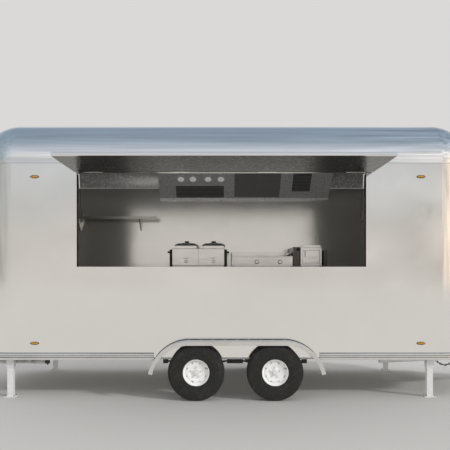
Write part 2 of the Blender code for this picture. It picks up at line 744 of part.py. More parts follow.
def marker_bosses(side):
    """The four oval marker lamps of one side wall, standing proud of its skin."""
    bosses = []
    for place_x in MARKER_PLACES_X:
        for place_z in MARKER_PLACES_Z:
            oval = ellipse((place_x, place_z), MARKER_LENGTH / 2, MARKER_HEIGHT / 2, SMALL_SIDES)
            near = side * (HALF_WIDTH - OVERRUN)
            far = side * (HALF_WIDTH + MARKER_PROUD)
            bosses.append(prism(oval, 1, near, far))
    return bosses


def side_panel(side):
    reach = FLAT_X - GAP
    inner = side * INNER_Y
    outer = side * HALF_WIDTH
    return box(-reach, reach, min(inner, outer), max(inner, outer), WALL_BOTTOM_Z, EAVES_Z - GAP)


def flap_hinge_places():
    length = FLAP_FRONT_X - FLAP_REAR_X
    first = FLAP_REAR_X + HINGE_END_SHARE * length
    pitch = (1 - 2 * HINGE_END_SHARE) * length / (FLAP_HINGES - 1)
    return [first + number * pitch for number in range(FLAP_HINGES)]


def strut_places():
    """(x, side) of each strut: side points from the strut to its jamb."""
    return [(WINDOW_REAR_X + STRUT_INBOARD, -1), (WINDOW_FRONT_X - STRUT_INBOARD, 1)]


def strut_foot_y():
    return -(HALF_WIDTH - STRUT_FOOT_IN)


def build_serving_wall():
    shapes = [side_panel(-1)] + marker_bosses(-1)
    barrel = circle((FLAP_PIVOT_Y, FLAP_PIVOT_Z), HINGE_RADIUS, SMALL_SIDES)
    for place in flap_hinge_places():
        for low, high in knuckle_ends(place, HINGE_KNUCKLE, DOOR_KNUCKLE_GAP):
            shapes.append(prism(barrel, 0, low, high))
            shapes.append(
                box(
                    low,
                    high,
                    FLAP_PIVOT_Y,
                    -HALF_WIDTH + OVERRUN,
                    FLAP_PIVOT_Z,
                    FLAP_PIVOT_Z + HINGE_RADIUS,
                )
            )
    window = box(
        WINDOW_REAR_X,
        WINDOW_FRONT_X,
        -HALF_WIDTH - OVERRUN,
        -INNER_Y + OVERRUN,
        WINDOW_SILL_Z,
        WINDOW_HEAD_Z,
    )
    wall = piece("serving_wall", "steel", shapes, [window])
    studs = []
    for place_x, side in strut_places():
        start = (place_x, strut_foot_y(), STRUT_FOOT_Z)
        end = (place_x + side * (STRUT_INBOARD + OVERRUN), strut_foot_y(), STRUT_FOOT_Z)
        studs.append(rod(start, end, STRUT_STUD_RADIUS, SMALL_SIDES))
    boolean(wall, studs, "UNION")


def build_far_wall():
    piece("far_wall", "steel", [side_panel(1)] + marker_bosses(1))


def shell_rings(half_x, half_y, radius):
    """Plan rings of a quarter-round roof edge, from its foot to the flat top."""
    rings = []
    for step in range(ARC_STEPS + 1):
        angle = math.pi / 2 * step / ARC_STEPS
        left = radius * math.cos(angle)
        inset = radius - left
        plan = rounded_rectangle(half_x - inset, half_y - inset, left, ARC_STEPS)
        height = EAVES_Z + radius * math.sin(angle)
        rings.append([(x, y, height) for x, y in plan])
    return rings


def build_roof():
    shape = bmesh.new()
    skins = []
    for half_x, half_y, radius in (
        (HALF_LENGTH, HALF_WIDTH, CORNER_RADIUS),
        (INNER_X, INNER_Y, INNER_RADIUS),
    ):
        rings = [[shape.verts.new(place) for place in ring] for ring in shell_rings(half_x, half_y, radius)]
        for low, high in zip(rings, rings[1:]):
            bridge(shape, low, high)
        shape.faces.new(rings[-1])
        skins.append(rings[0])
    bridge(shape, skins[0], skins[1])
    bmesh.ops.remove_doubles(shape, verts=shape.verts, dist=MERGE)
    bmesh.ops.dissolve_degenerate(shape, edges=shape.edges, dist=MERGE)
    piece("roof", "steel", [finish_shape(shape)])


def bridge(shape, first, second):
    count = len(first)
    for index in range(count):
        after = (index + 1) % count
        shape.faces.new((first[index], first[after], second[after], second[index]))


def build_floor():
    plan = rounded_rectangle(INNER_X - GAP, INNER_Y - GAP, INNER_RADIUS - GAP, ARC_STEPS)
    piece("floor", "floor", [prism(plan, 2, CHASSIS_TOP_Z + GAP, FLOOR_TOP_Z)])


# Skirt rails
def skirt_path(side, start_x, offset):
    """Plan line round one end of the body, at an offset out from the wall."""
    radius = CORNER_RADIUS + offset
    corner = arc((FLAT_X, FLAT_Y), radius, math.pi / 2, 0.0, ARC_STEPS)
    half = [(start_x, HALF_WIDTH + offset)] + [(side * x, y) for x, y in corner]
    return half + [(x, -y) for x, y in reversed(half)]


def build_skirt(name, side):
    reach = math.sqrt(FENDER_RADIUS**2 - (CHASSIS_BOTTOM_Z - FENDER_TOP_Z + FENDER_RADIUS) ** 2)
    flat_end = FENDER_FLAT_FRONT_X if side > 0 else FENDER_FLAT_REAR_X
    start_x = flat_end + side * (reach + SKIRT_END_GAP)
    shape = bmesh.new()
    lines = []
    for share_out, share_up in SKIRT_PROFILE_SHARES:
        path = skirt_path(side, start_x, GAP + share_out * (SKIRT_RIDGE - GAP))
        height = CHASSIS_BOTTOM_Z + share_up * SKIRT_HEIGHT
        lines.append([shape.verts.new((x, y, height)) for x, y in path])
    for number, line in enumerate(lines):
        after = lines[(number + 1) % len(lines)]
        for index in range(len(line) - 1):
            shape.faces.new((line[index], line[index + 1], after[index + 1], after[index]))
    shape.faces.new([line[0] for line in lines])
    shape.faces.new([line[-1] for line in reversed(lines)])
    piece(name, "aluminium", [finish_shape(shape)])


# Chassis
def leg_places():
    """(name, x, y side, fold direction) of the four drop legs."""
    return [
        ("leg_rear_near", LEG_REAR_X, -1),
        ("leg_rear_far", LEG_REAR_X, 1),
        ("leg_front_near", LEG_FRONT_X, -1),
        ("leg_front_far", LEG_FRONT_X, 1),
    ]


def beam_x(low_x, high_x, middle_y, width):
    half = width / 2
    return box(low_x, high_x, middle_y - half, middle_y + half, CHASSIS_BOTTOM_Z, CHASSIS_TOP_Z)


def cross_member(middle_x, half_y):
    half = CROSS_MEMBER_WIDTH / 2
    return box(middle_x - half, middle_x + half, -half_y, half_y, CHASSIS_BOTTOM_Z, CHASSIS_TOP_Z)


def leg_cheeks():
    cheeks = []
    pivot_bore = []
    offset = LEG_WIDTH / 2 + LEG_CHEEK_GAP
    for _, leg_x, side in leg_places():
        for way in (-1, 1):
            near = side * LEG_Y + way * offset
            far = near + way * LEG_CHEEK
            cheeks.append(
                box(
                    leg_x - LEG_CHEEK_HALF,
                    leg_x + LEG_CHEEK_HALF,
                    min(near, far),
                    max(near, far),
                    LEG_PIVOT_Z - LEG_CHEEK_BELOW,
                    CHASSIS_BOTTOM_Z + OVERRUN,
                )
            )
        reach = offset + LEG_CHEEK + OVERRUN
        bore = circle((leg_x, LEG_PIVOT_Z), LEG_STUB_BORE, SMALL_SIDES)
        pivot_bore.append(prism(bore, 1, side * LEG_Y - reach, side * LEG_Y + reach))
    return cheeks, pivot_bore


def build_chassis():
    shapes = []
    for side in (-1, 1):
        shapes.append(beam_x(-OUTER_RAIL_END_X, OUTER_RAIL_END_X, side * OUTER_RAIL_Y, OUTER_RAIL_WIDTH))
        shapes.append(beam_x(-END_MEMBER_X, END_MEMBER_X, side * INNER_RAIL_Y, INNER_RAIL_WIDTH))
    pitch = 2 * END_MEMBER_X / (CROSS_MEMBERS - 1)
    for number in range(CROSS_MEMBERS):
        last = number in (0, CROSS_MEMBERS - 1)
        half_y = END_MEMBER_HALF if last else OUTER_RAIL_Y
        shapes.append(cross_member(number * pitch - END_MEMBER_X, half_y))
    cheeks, bores = leg_cheeks()
    piece("chassis_frame", "zinc", shapes + cheeks, bores)


def build_leg(name, leg_x, side):
    half = LEG_WIDTH / 2
    middle = side * LEG_Y
    post = box(
        leg_x - half,
        leg_x + half,
        middle - half,
        middle + half,
        LEG_FOOT_THICKNESS / 2,
        LEG_PIVOT_Z + LEG_ABOVE_PIVOT,
    )
    foot = box(
        leg_x - LEG_FOOT / 2,
        leg_x + LEG_FOOT / 2,
        middle - LEG_FOOT / 2,
        middle + LEG_FOOT / 2,
        0.0,
        LEG_FOOT_THICKNESS,
    )
    pin_reach = half + LEG_PIN_PROUD
    pin_ring = circle((leg_x, LEG_PIN_Z), LEG_PIN_RADIUS, SMALL_SIDES)
    pin = prism(pin_ring, 1, middle - pin_reach, middle + pin_reach)
    stub_reach = half + LEG_CHEEK_GAP + LEG_CHEEK + LEG_PIN_PROUD
    stub_ring = circle((leg_x, LEG_PIVOT_Z), LEG_STUB_RADIUS, SMALL_SIDES)
    stub = prism(stub_ring, 1, middle - stub_reach, middle + stub_reach)
    piece(name, "zinc", [post, foot, pin, stub], origin=(leg_x, middle, LEG_PIVOT_Z))


# Drawbar
def drawbar_y(place_x):
    share = (place_x - DRAWBAR_ROOT_X) / (DRAWBAR_TIP_X - DRAWBAR_ROOT_X)
    return DRAWBAR_ROOT_Y + share * (DRAWBAR_TIP_Y - DRAWBAR_ROOT_Y)


def build_drawbar(name, side):
    slope = math.hypot(DRAWBAR_TIP_X - DRAWBAR_ROOT_X, DRAWBAR_TIP_Y - DRAWBAR_ROOT_Y)
    half = DRAWBAR_WIDTH / 2 * slope / (DRAWBAR_TIP_X - DRAWBAR_ROOT_X)
    outline = [
        (DRAWBAR_ROOT_X, side * (DRAWBAR_ROOT_Y - half)),
        (DRAWBAR_TIP_X, side * (DRAWBAR_TIP_Y - half)),
        (DRAWBAR_TIP_X, side * (DRAWBAR_TIP_Y + half)),
        (DRAWBAR_ROOT_X, side * (DRAWBAR_ROOT_Y + half)),
    ]
    piece(name, "zinc", [prism(outline, 2, DRAWBAR_TOP_Z - DRAWBAR_HEIGHT, DRAWBAR_TOP_Z)])


def build_coupler():
    low = DRAWBAR_TOP_Z + GAP
    base = box(
        COUPLER_REAR_X, COUPLER_BALL_X, -COUPLER_HALF, COUPLER_HALF, low, low + COUPLER_BASE
    )
    nose = arc((COUPLER_BALL_X, 0.0), COUPLER_HALF, -math.pi / 2, math.pi / 2, ARC_STEPS)
    head_plan = [(COUPLER_HEAD_REAR_X, COUPLER_HALF), (COUPLER_HEAD_REAR_X, -COUPLER_HALF)] + nose
    head = prism(head_plan, 2, low, low + COUPLER_HEIGHT)
    lever_low = low + COUPLER_HEIGHT + COUPLER_LEVER_LIFT
    lever_side = [
        (COUPLER_BALL_X, low + COUPLER_HEIGHT - OVERRUN),
        (COUPLER_BALL_X, lever_low + COUPLER_LEVER_THICKNESS),
        (COUPLER_REAR_X, lever_low + COUPLER_LEVER_THICKNESS),
        (COUPLER_REAR_X, lever_low),
        (COUPLER_HEAD_REAR_X, lever_low),
        (COUPLER_HEAD_REAR_X + COUPLER_HALF, low + COUPLER_HEIGHT - OVERRUN),
    ]
    lever = prism(lever_side, 1, -COUPLER_LEVER_HALF, COUPLER_LEVER_HALF)
    ball = COUPLER_SOCKET_RADIUS
    crown = arc((0.0, ball / 2), ball, 0.0, math.pi / 2, ARC_STEPS)
    socket_line = [(0.0, -OVERRUN), (ball, -OVERRUN), *crown]
    socket = lathe(socket_line, 2, (COUPLER_BALL_X, 0.0, low), ROUND_SIDES)
    piece("coupler", "zinc", [base, head, lever], [socket])


def build_platform():
    low = DRAWBAR_TOP_Z + GAP
    deck = low + PLATFORM_BAR
    shapes = [
        box(PLATFORM_REAR_X, PLATFORM_FRONT_X, -PLATFORM_HALF, PLATFORM_HALF, deck, deck + PLATFORM_PLATE)
    ]
    for middle_x in (PLATFORM_REAR_X + PLATFORM_BAR / 2, PLATFORM_FRONT_X - PLATFORM_BAR / 2):
        half = PLATFORM_BAR / 2
        shapes.append(
            box(middle_x - half, middle_x + half, -PLATFORM_HALF, PLATFORM_HALF, low, deck + OVERRUN)
        )
    top = deck + PLATFORM_PLATE + PLATFORM_LIP
    for side in (-1, 1):
        near = side * PLATFORM_HALF
        far = side * (PLATFORM_HALF - PLATFORM_PLATE)
        shapes.append(
            box(PLATFORM_REAR_X, PLATFORM_FRONT_X, min(near, far), max(near, far), deck, top)
        )
    piece("drawbar_platform", "zinc", shapes)


def build_jack():
    low = DRAWBAR_TOP_Z + GAP
    plate = box(
        JACK_X - JACK_PLATE_HALF_X,
        JACK_X + JACK_PLATE_HALF_X,
        -JACK_PLATE_HALF_Y,
        JACK_PLATE_HALF_Y,
        low,
        low + JACK_PLATE,
    )
    place = (JACK_X, 0.0)
    foot = low - JACK_TUBE_BELOW
    tube = prism(circle(place, JACK_TUBE_RADIUS, ROUND_SIDES), 2, foot, JACK_TUBE_TOP_Z)
    bore_radius = JACK_POST_RADIUS + JACK_POST_CLEARANCE
    bore_top = JACK_TUBE_TOP_Z - JACK_TUBE_CAP
    bore = prism(circle(place, bore_radius, ROUND_SIDES), 2, foot - OVERRUN, bore_top)
    arm_z = JACK_TUBE_TOP_Z + JACK_HANDLE_RADIUS
    arm = rod(
        (JACK_X, -JACK_ARM_INSET, arm_z),
        (JACK_X, JACK_HANDLE_REACH + JACK_ARM_INSET, arm_z),
        JACK_HANDLE_RADIUS,
        SMALL_SIDES,
    )
    stem_top = arm_z + JACK_HANDLE_RADIUS * 2
    stem_low = JACK_TUBE_TOP_Z - OVERRUN
    stem = prism(circle(place, JACK_GRIP_RADIUS, SMALL_SIDES), 2, stem_low, stem_top)
    grip = rod(
        (JACK_X, JACK_HANDLE_REACH, arm_z - JACK_HANDLE_RADIUS * 2),
        (JACK_X, JACK_HANDLE_REACH, arm_z + JACK_GRIP_HEIGHT),
        JACK_GRIP_RADIUS,
        SMALL_SIDES,
    )
    piece("jack_housing", "zinc", [plate, tube, stem, arm, grip], [bore])


def build_jockey():
    inner = JOCKEY_WIDTH / 2 + JOCKEY_CHEEK_GAP
    outer = inner + JOCKEY_CHEEK
    post_ring = circle((JACK_X, 0.0), JACK_POST_RADIUS, ROUND_SIDES)
    post = prism(post_ring, 2, JOCKEY_CROWN_Z - JOCKEY_CROWN / 2, JACK_POST_TOP_Z)
    crown = box(
        JACK_X - JOCKEY_CHEEK_HALF,
        JACK_X + JOCKEY_CHEEK_HALF,
        -outer,
        outer,
        JOCKEY_CROWN_Z - JOCKEY_CROWN,
        JOCKEY_CROWN_Z,
    )
    shapes = [post, crown]
    for side in (-1, 1):
        shapes.append(
            box(
                JACK_X - JOCKEY_CHEEK_HALF,
                JACK_X + JOCKEY_CHEEK_HALF,
                min(side * inner, side * outer),
                max(side * inner, side * outer),
                JOCKEY_RADIUS - JOCKEY_CHEEK_HALF,
                JOCKEY_CROWN_Z,
            )
        )
    pin = circle((JACK_X, JOCKEY_RADIUS), JOCKEY_PIN_RADIUS, ROUND_SIDES)
    shapes.append(prism(pin, 1, -outer - JOCKEY_CHEEK / 2, outer + JOCKEY_CHEEK / 2))
    piece("jockey_post", "zinc", shapes, origin=(JACK_X, 0.0, JOCKEY_CROWN_Z))
    half = JOCKEY_WIDTH / 2
    edge = half - JOCKEY_DISH
    tyre = [
        (JOCKEY_BORE, -half),
        (JOCKEY_HUB_RADIUS / 2, -half),
        (JOCKEY_HUB_RADIUS, -edge),
        (JOCKEY_HUB_RADIUS + JOCKEY_DISH, -half),
        (JOCKEY_RADIUS - JOCKEY_DISH, -half),
        (JOCKEY_RADIUS, -edge),
        (JOCKEY_RADIUS, edge),
        (JOCKEY_RADIUS - JOCKEY_DISH, half),
        (JOCKEY_HUB_RADIUS + JOCKEY_DISH, half),
        (JOCKEY_HUB_RADIUS, edge),
        (JOCKEY_HUB_RADIUS / 2, half),
        (JOCKEY_BORE, half),
    ]
    centre = (JACK_X, 0.0, JOCKEY_RADIUS)
    wheel = lathe(tyre, 1, centre, ROUND_SIDES, ring=True)
    piece("jockey_wheel", "tyre", [wheel], origin=centre)


# Wheels, axles and springs
def wheel_places():
    return [
        ("rear_near", WHEEL_REAR_X, -1),
        ("rear_far", WHEEL_REAR_X, 1),
        ("front_near", WHEEL_FRONT_X, -1),
        ("front_far", WHEEL_FRONT_X, 1),
    ]


def build_wheel(name, wheel_x, side):
    centre = (wheel_x, side * WHEEL_Y, TYRE_RADIUS)
    half_rim = RIM_WIDTH / 2
    inside = RIM_RADIUS - RIM_WALL
    disc_back = RIM_DISC_Y - RIM_DISC
    bore = SPINDLE_RADIUS + SPINDLE_CLEARANCE
    rim_line = [
        (0.0, RIM_DISC_Y + HUB_CAP_HEIGHT),
        (HUB_CAP_RADIUS * HUB_CAP_TAPER_SHARE, RIM_DISC_Y + HUB_CAP_HEIGHT),
        (HUB_CAP_RADIUS, RIM_DISC_Y),
        (HUB_RADIUS, RIM_DISC_Y),
        (RIM_SWELL_RADIUS, RIM_DISC_Y + RIM_SWELL),
        (inside - RIM_SWELL, RIM_DISC_Y - RIM_SWELL),
        (inside, half_rim),
        (RIM_RADIUS, half_rim),
        (RIM_RADIUS, -half_rim),
        (inside, -half_rim),
        (inside, disc_back - RIM_SWELL),
        (DRUM_RADIUS, disc_back - RIM_SWELL),
        (DRUM_RADIUS, -DRUM_INNER_Y),
        (bore, -DRUM_INNER_Y),
        (bore, SPINDLE_END_Y),
        (0.0, SPINDLE_END_Y),
    ]
    rim_line = [(radius, side * along) for radius, along in rim_line]
    rim = lathe(rim_line, 1, centre, WHEEL_SIDES)
    piece(f"rim_{name}", "rim", [rim], origin=centre)
    inner_radius = RIM_RADIUS + GAP
    height = TYRE_RADIUS - inner_radius
    half = TYRE_WIDTH / 2
    outer_half = [
        (inner_radius + share_up * height, share_out * half)
        for share_up, share_out in TYRE_PROFILE_SHARES
    ]
    tyre_line = outer_half + [(radius, -along) for radius, along in reversed(outer_half)]
    tyre = lathe(tyre_line, 1, centre, WHEEL_SIDES, ring=True)
    piece(f"tyre_{name}", "tyre", [tyre], origin=centre)


def build_axle(name, axle_x):
    reach = WHEEL_Y
    line = [
        (0.0, -reach),
        (SPINDLE_RADIUS, -reach),
        (SPINDLE_RADIUS, -AXLE_HALF),
        (AXLE_RADIUS, -AXLE_HALF),
        (AXLE_RADIUS, AXLE_HALF),
        (SPINDLE_RADIUS, AXLE_HALF),
        (SPINDLE_RADIUS, reach),
        (0.0, reach),
    ]
    piece(name, "zinc", [lathe(line, 1, (axle_x, 0.0, TYRE_RADIUS), ROUND_SIDES)])


def leaf_outline(axle_x):
    """Side view of one leaf pack: low over the axle, rising to its eyes."""
    bottom = []
    top = []
    seat = TYRE_RADIUS + AXLE_RADIUS + GAP
    for step in range(SPRING_STEPS + 1):
        share = 2 * step / SPRING_STEPS - 1
        place_x = axle_x + share * SPRING_HALF_SPAN
        place_z = seat + SPRING_EYE_RISE * share * share
        taper = 1 - share * share / 2
        bottom.append((place_x, place_z))
        top.append((place_x, place_z + SPRING_LEAF * taper))
    return bottom + list(reversed(top))


def build_springs(name, side):
    low_y = side * SPRING_Y - SPRING_WIDTH / 2
    high_y = side * SPRING_Y + SPRING_WIDTH / 2
    eye_z = TYRE_RADIUS + AXLE_RADIUS + SPRING_EYE_RISE
    middle = (WHEEL_REAR_X + WHEEL_FRONT_X) / 2
    shapes = []
    for axle_x in (WHEEL_REAR_X, WHEEL_FRONT_X):
        shapes.append(prism(leaf_outline(axle_x), 1, low_y, high_y))
    hanger_half = SPRING_HANGER_LENGTH / 2
    equalizer_half = middle - WHEEL_REAR_X - SPRING_HALF_SPAN + hanger_half
    for place_x, half in (
        (WHEEL_REAR_X - SPRING_HALF_SPAN, hanger_half),
        (middle, equalizer_half),
        (WHEEL_FRONT_X + SPRING_HALF_SPAN, hanger_half),
    ):
        top = CHASSIS_BOTTOM_Z - GAP
        outline = [
            (place_x - half, eye_z - SPRING_HANGER_BELOW),
            (place_x + half, eye_z - SPRING_HANGER_BELOW),
            (place_x + half, top),
            (place_x - half, top),
        ]
        shapes.append(prism(outline, 1, low_y - LEG_CHEEK, high_y + LEG_CHEEK))
    piece(name, "iron", shapes)


# Fenders
def fender_arch(radius):
    start = math.pi / 2 - FENDER_SWEEP
    centre_z = FENDER_TOP_Z - FENDER_RADIUS
    front = arc((FENDER_FLAT_FRONT_X, centre_z), radius, start, math.pi / 2, ARC_STEPS)
    rear = arc((FENDER_FLAT_REAR_X, centre_z), radius, math.pi / 2, math.pi - start, ARC_STEPS)
    return front + rear


def fender_band(depth):
    outer = fender_arch(FENDER_RADIUS)
    inner = fender_arch(FENDER_RADIUS - depth)
    return outer + list(reversed(inner))


def build_fender(name, side):
    wall_side = HALF_WIDTH + GAP
    sheet = prism(fender_band(FENDER_SHEET), 1, wall_side, FENDER_OUTER_Y)
    lip = prism(fender_band(FENDER_LIP), 1, FENDER_OUTER_Y - FENDER_SHEET, FENDER_OUTER_Y)
    shapes = [sheet, lip]
    if side < 0:
        shapes = [mirrored(shape, 1) for shape in shapes]
    piece(name, "aluminium", shapes)


# Serving flap and gas struts
def build_flap():
    underside = FLAP_PIVOT_Z - FLAP_PIVOT_ABOVE_SKIN
    inner_y = FLAP_PIVOT_Y - FLAP_EDGE_FROM_PIVOT
    round_centre = (FLAP_OUTER_Y + FLAP_EDGE_ROUND, underside + FLAP_THICKNESS - FLAP_EDGE_ROUND)
    outline = [
        (inner_y, underside),
        (inner_y, underside + FLAP_THICKNESS),
        *arc(round_centre, FLAP_EDGE_ROUND, math.pi / 2, math.pi, ARC_STEPS // 2),
        (FLAP_OUTER_Y, underside),
    ]
    shapes = [prism(outline, 0, FLAP_REAR_X, FLAP_FRONT_X)]
    barrel = circle((FLAP_PIVOT_Y, FLAP_PIVOT_Z), HINGE_RADIUS, SMALL_SIDES)
    for place in flap_hinge_places():
        low = place - HINGE_KNUCKLE / 2
        high = place + HINGE_KNUCKLE / 2
        shapes.append(prism(barrel, 0, low, high))
        shapes.append(
            box(
                low,
                high,
                inner_y - OVERRUN,
                FLAP_PIVOT_Y,
                FLAP_PIVOT_Z - HINGE_RADIUS,
                FLAP_PIVOT_Z,
            )
        )
    for place_x, side in strut_places():
        near = place_x + side * (STRUT_EYE_RADIUS + STRUT_PLATE_GAP)
        far = near + side * STRUT_PLATE
        eye_y = FLAP_PIVOT_Y - STRUT_EYE_REACH
        shapes.append(
            box(
                min(near, far),
                max(near, far),
                eye_y - STRUT_PLATE_HALF,
                eye_y + STRUT_PLATE_HALF,
                FLAP_PIVOT_Z - STRUT_EYE_DROP - STRUT_EYE_RADIUS,
                underside + OVERRUN,
            )
        )
    pivot = (0.0, FLAP_PIVOT_Y, FLAP_PIVOT_Z)
    piece("serving_flap", "steel", shapes, origin=pivot)


def strut_ends(place_x):
    foot = Vector((place_x, strut_foot_y(), STRUT_FOOT_Z))
    eye = Vector((place_x, FLAP_PIVOT_Y - STRUT_EYE_REACH, FLAP_PIVOT_Z - STRUT_EYE_DROP))
    return foot, eye


def build_strut(place_x, name):
    foot, eye = strut_ends(place_x)
    along = (eye - foot).normalized()
    half = STRUT_EYE_RADIUS
    bore_start = foot + along * (STRUT_TUBE_LENGTH - STRUT_ROD_INSIDE - STRUT_TRAVEL - OVERRUN)
    tube_end = foot + along * STRUT_TUBE_LENGTH
    tube = rod(foot + along * STRUT_EYE_RADIUS, tube_end, STRUT_TUBE_RADIUS, SMALL_SIDES)
    foot_eye = prism(circle(foot.yz, STRUT_TUBE_RADIUS, SMALL_SIDES), 0, place_x - half, place_x + half)
    bore_ring = circle(foot.yz, STRUT_STUD_RADIUS + STRUT_STUD_CLEARANCE, SMALL_SIDES)
    stud_bore = prism(bore_ring, 0, place_x - half * 2, place_x + half * 2)
    bore = rod(bore_start, tube_end + along * OVERRUN, STRUT_BORE_RADIUS, SMALL_SIDES)
    piece(f"strut_tube_{name}", "black", [tube, foot_eye], [stud_bore, bore], origin=foot)
    rod_start = tube_end - along * STRUT_ROD_INSIDE
    bar = rod(rod_start, eye, STRUT_ROD_RADIUS, SMALL_SIDES)
    rod_eye = prism(circle(eye.yz, STRUT_EYE_RADIUS, SMALL_SIDES), 0, place_x - half, place_x + half)
    piece(f"strut_rod_{name}", "steel", [bar, rod_eye], origin=eye)


# Rear door
def build_door():
    outside = -HALF_LENGTH
    inside = outside + DOOR_THICKNESS
    slab = box(outside, inside, -DOOR_HALF, DOOR_HALF, DOOR_BOTTOM_Z, DOOR_TOP_Z)
    shapes = [slab]
    for height in door_hinge_heights():
        low = height - DOOR_KNUCKLE / 2
        high = height + DOOR_KNUCKLE / 2
        shapes.append(prism(circle((DOOR_PIVOT_X, DOOR_PIVOT_Y), HINGE_RADIUS, SMALL_SIDES), 2, low, high))
        leaf_x = outside - DOOR_LEAF_THICKNESS
        leaf_y = DOOR_PIVOT_Y - DOOR_LEAF
        shapes.append(box(leaf_x, outside + OVERRUN, leaf_y, DOOR_HALF - OVERRUN, low, high))
        shapes.append(box(leaf_x, outside - DOOR_KNUCKLE_GAP, leaf_y, DOOR_PIVOT_Y, low, high))
    handle_y = -DOOR_HALF + HANDLE_FROM_EDGE
    plate_half = HANDLE_PLATE_HEIGHT / 2
    shapes.append(
        box(
            outside - HANDLE_PLATE,
            outside + OVERRUN,
            handle_y - HANDLE_PLATE_HALF,
            handle_y + HANDLE_PLATE_HALF,
            HANDLE_Z - plate_half,
            HANDLE_Z + plate_half,
        )
    )
    stem_end = (outside - HANDLE_STEM, handle_y, HANDLE_Z)
    shapes.append(rod((outside + OVERRUN, handle_y, HANDLE_Z), stem_end, HANDLE_RADIUS, SMALL_SIDES))
    lever_start = (outside - HANDLE_STEM, handle_y - HANDLE_RADIUS, HANDLE_Z)
    lever_end = (outside - HANDLE_STEM, handle_y + HANDLE_LENGTH, HANDLE_Z)
    shapes.append(rod(lever_start, lever_end, HANDLE_RADIUS, SMALL_SIDES))
    window = box(
        outside - OVERRUN,
        inside + OVERRUN,
        -DOOR_WINDOW_HALF,
        DOOR_WINDOW_HALF,
        DOOR_WINDOW_BOTTOM_Z,
        DOOR_WINDOW_TOP_Z,
    )
    pivot = (DOOR_PIVOT_X, DOOR_PIVOT_Y, DOOR_BOTTOM_Z)
    piece("rear_door", "steel", shapes, [window], origin=pivot)
    middle_x = outside + DOOR_THICKNESS / 2
    glass = box(
        middle_x - DOOR_GLASS / 2,
        middle_x + DOOR_GLASS / 2,
        -DOOR_WINDOW_HALF + GAP,
        DOOR_WINDOW_HALF - GAP,
        DOOR_WINDOW_BOTTOM_Z + GAP,
        DOOR_WINDOW_TOP_Z - GAP,
    )
    piece("rear_door_glass", "glass", [glass], origin=pivot)


def build_rear_gear():
    rear = BUMPER_REAR_X
    top = CHASSIS_BOTTOM_Z - GAP
    beam = box(rear, rear + BUMPER_DEPTH, -BUMPER_HALF, BUMPER_HALF, top - BUMPER_HEIGHT, top)
    shapes = [beam]
    for side in (-1, 1):
        middle = side * INNER_RAIL_Y
        half = BUMPER_ARM_WIDTH / 2
        start = rear + BUMPER_DEPTH - OVERRUN
        shapes.append(
            box(start, start + BUMPER_ARM_LENGTH, middle - half, middle + half, top - BUMPER_HEIGHT, top)
        )
    piece("rear_bumper", "zinc", shapes)
    for side, name in ((-1, "tail_lamp_near"), (1, "tail_lamp_far")):
        plan_half = LAMP_WIDTH / 2
        middle = (side * LAMP_Y, LAMP_BOTTOM_Z + LAMP_HEIGHT / 2)
        outline = [
            (middle[0] + y, middle[1] + z)
            for y, z in rounded_rectangle(plan_half, LAMP_HEIGHT / 2, LAMP_ROUND, ARC_STEPS // 2)
        ]
        outer = -HALF_LENGTH - GAP
        piece(name, "red", [prism(outline, 0, outer - LAMP_PROUD, outer)])


# Drain pipe
def build_drain():
    centre = (0.0, DRAIN_Y, DRAIN_Z)
    line = [(0.0, DRAIN_REAR_X), (DRAIN_RADIUS, DRAIN_REAR_X), (DRAIN_RADIUS, DRAIN_RIBS_X)]
    pitch = (DRAIN_FRONT_X - DRAIN_RIBS_X) / DRAIN_RIBS
    for number in range(DRAIN_RIBS):
        start = DRAIN_RIBS_X + number * pitch
        for share_along, share_out in DRAIN_RIB_SHARES:
            line.append((DRAIN_RADIUS + share_out * DRAIN_RIB, start + share_along * pitch))
    line.append((DRAIN_RADIUS, DRAIN_FRONT_X))
    line.append((0.0, DRAIN_FRONT_X))
    shapes = [lathe(line, 0, centre, SMALL_SIDES)]
    rail_side = -(OUTER_RAIL_Y - OUTER_RAIL_WIDTH / 2 - GAP)
    for share in DRAIN_CLIP_SHARES:
        middle = -OUTER_RAIL_END_X + share * (OUTER_RAIL_END_X + DRAIN_RIBS_X)
        half = DRAIN_CLIP_LENGTH / 2
        shapes.append(
            box(middle - half, middle + half, rail_side, DRAIN_Y, DRAIN_Z, DRAIN_Z + DRAIN_CLIP_RISE)
        )
    piece("drain_pipe", "pipe", shapes)
    start = DRAIN_FRONT_X + GAP
    valve_line = [
        (0.0, start),
        (VALVE_RADIUS, start),
        (VALVE_RADIUS, start + VALVE_LENGTH * VALVE_BODY_SHARE),
        (VALVE_RADIUS * VALVE_NOSE_SHARE, start + VALVE_LENGTH),
        (0.0, start + VALVE_LENGTH),
    ]
    body = lathe(valve_line, 0, centre, SMALL_SIDES)
    middle = start + VALVE_LENGTH / 2
    half = VALVE_LEVER / 2
    low = DRAIN_Z - VALVE_LEVER_DROP
    lever = box(middle - half, middle + half, DRAIN_Y - half, DRAIN_Y + half, low, DRAIN_Z)
    piece("drain_valve", "black", [body, lever])


# Roof vent
def build_vent():
    base = ROOF_TOP_Z + GAP
    neck = VENT_RADIUS * VENT_NECK_SHARE
    cap_low = base + VENT_HEIGHT - VENT_CAP
    line = [
        (0.0, base),
        (VENT_RADIUS * VENT_FLANGE_SHARE, base),
        (VENT_RADIUS * VENT_FLANGE_SHARE, base + VENT_FLANGE),
        (neck, base + VENT_FLANGE * 2),
        (neck, cap_low + VENT_FLANGE),
        (VENT_RADIUS - VENT_FLANGE, cap_low + VENT_FLANGE),
        (VENT_RADIUS - VENT_FLANGE, cap_low),
    ]
    for share_out, share_up in VENT_CAP_SHARES:
        line.append((VENT_RADIUS * share_out, cap_low + VENT_CAP * share_up))
    piece("roof_vent", "steel", [lathe(line, 2, (VENT_X, VENT_Y, 0.0), ROUND_SIDES)])


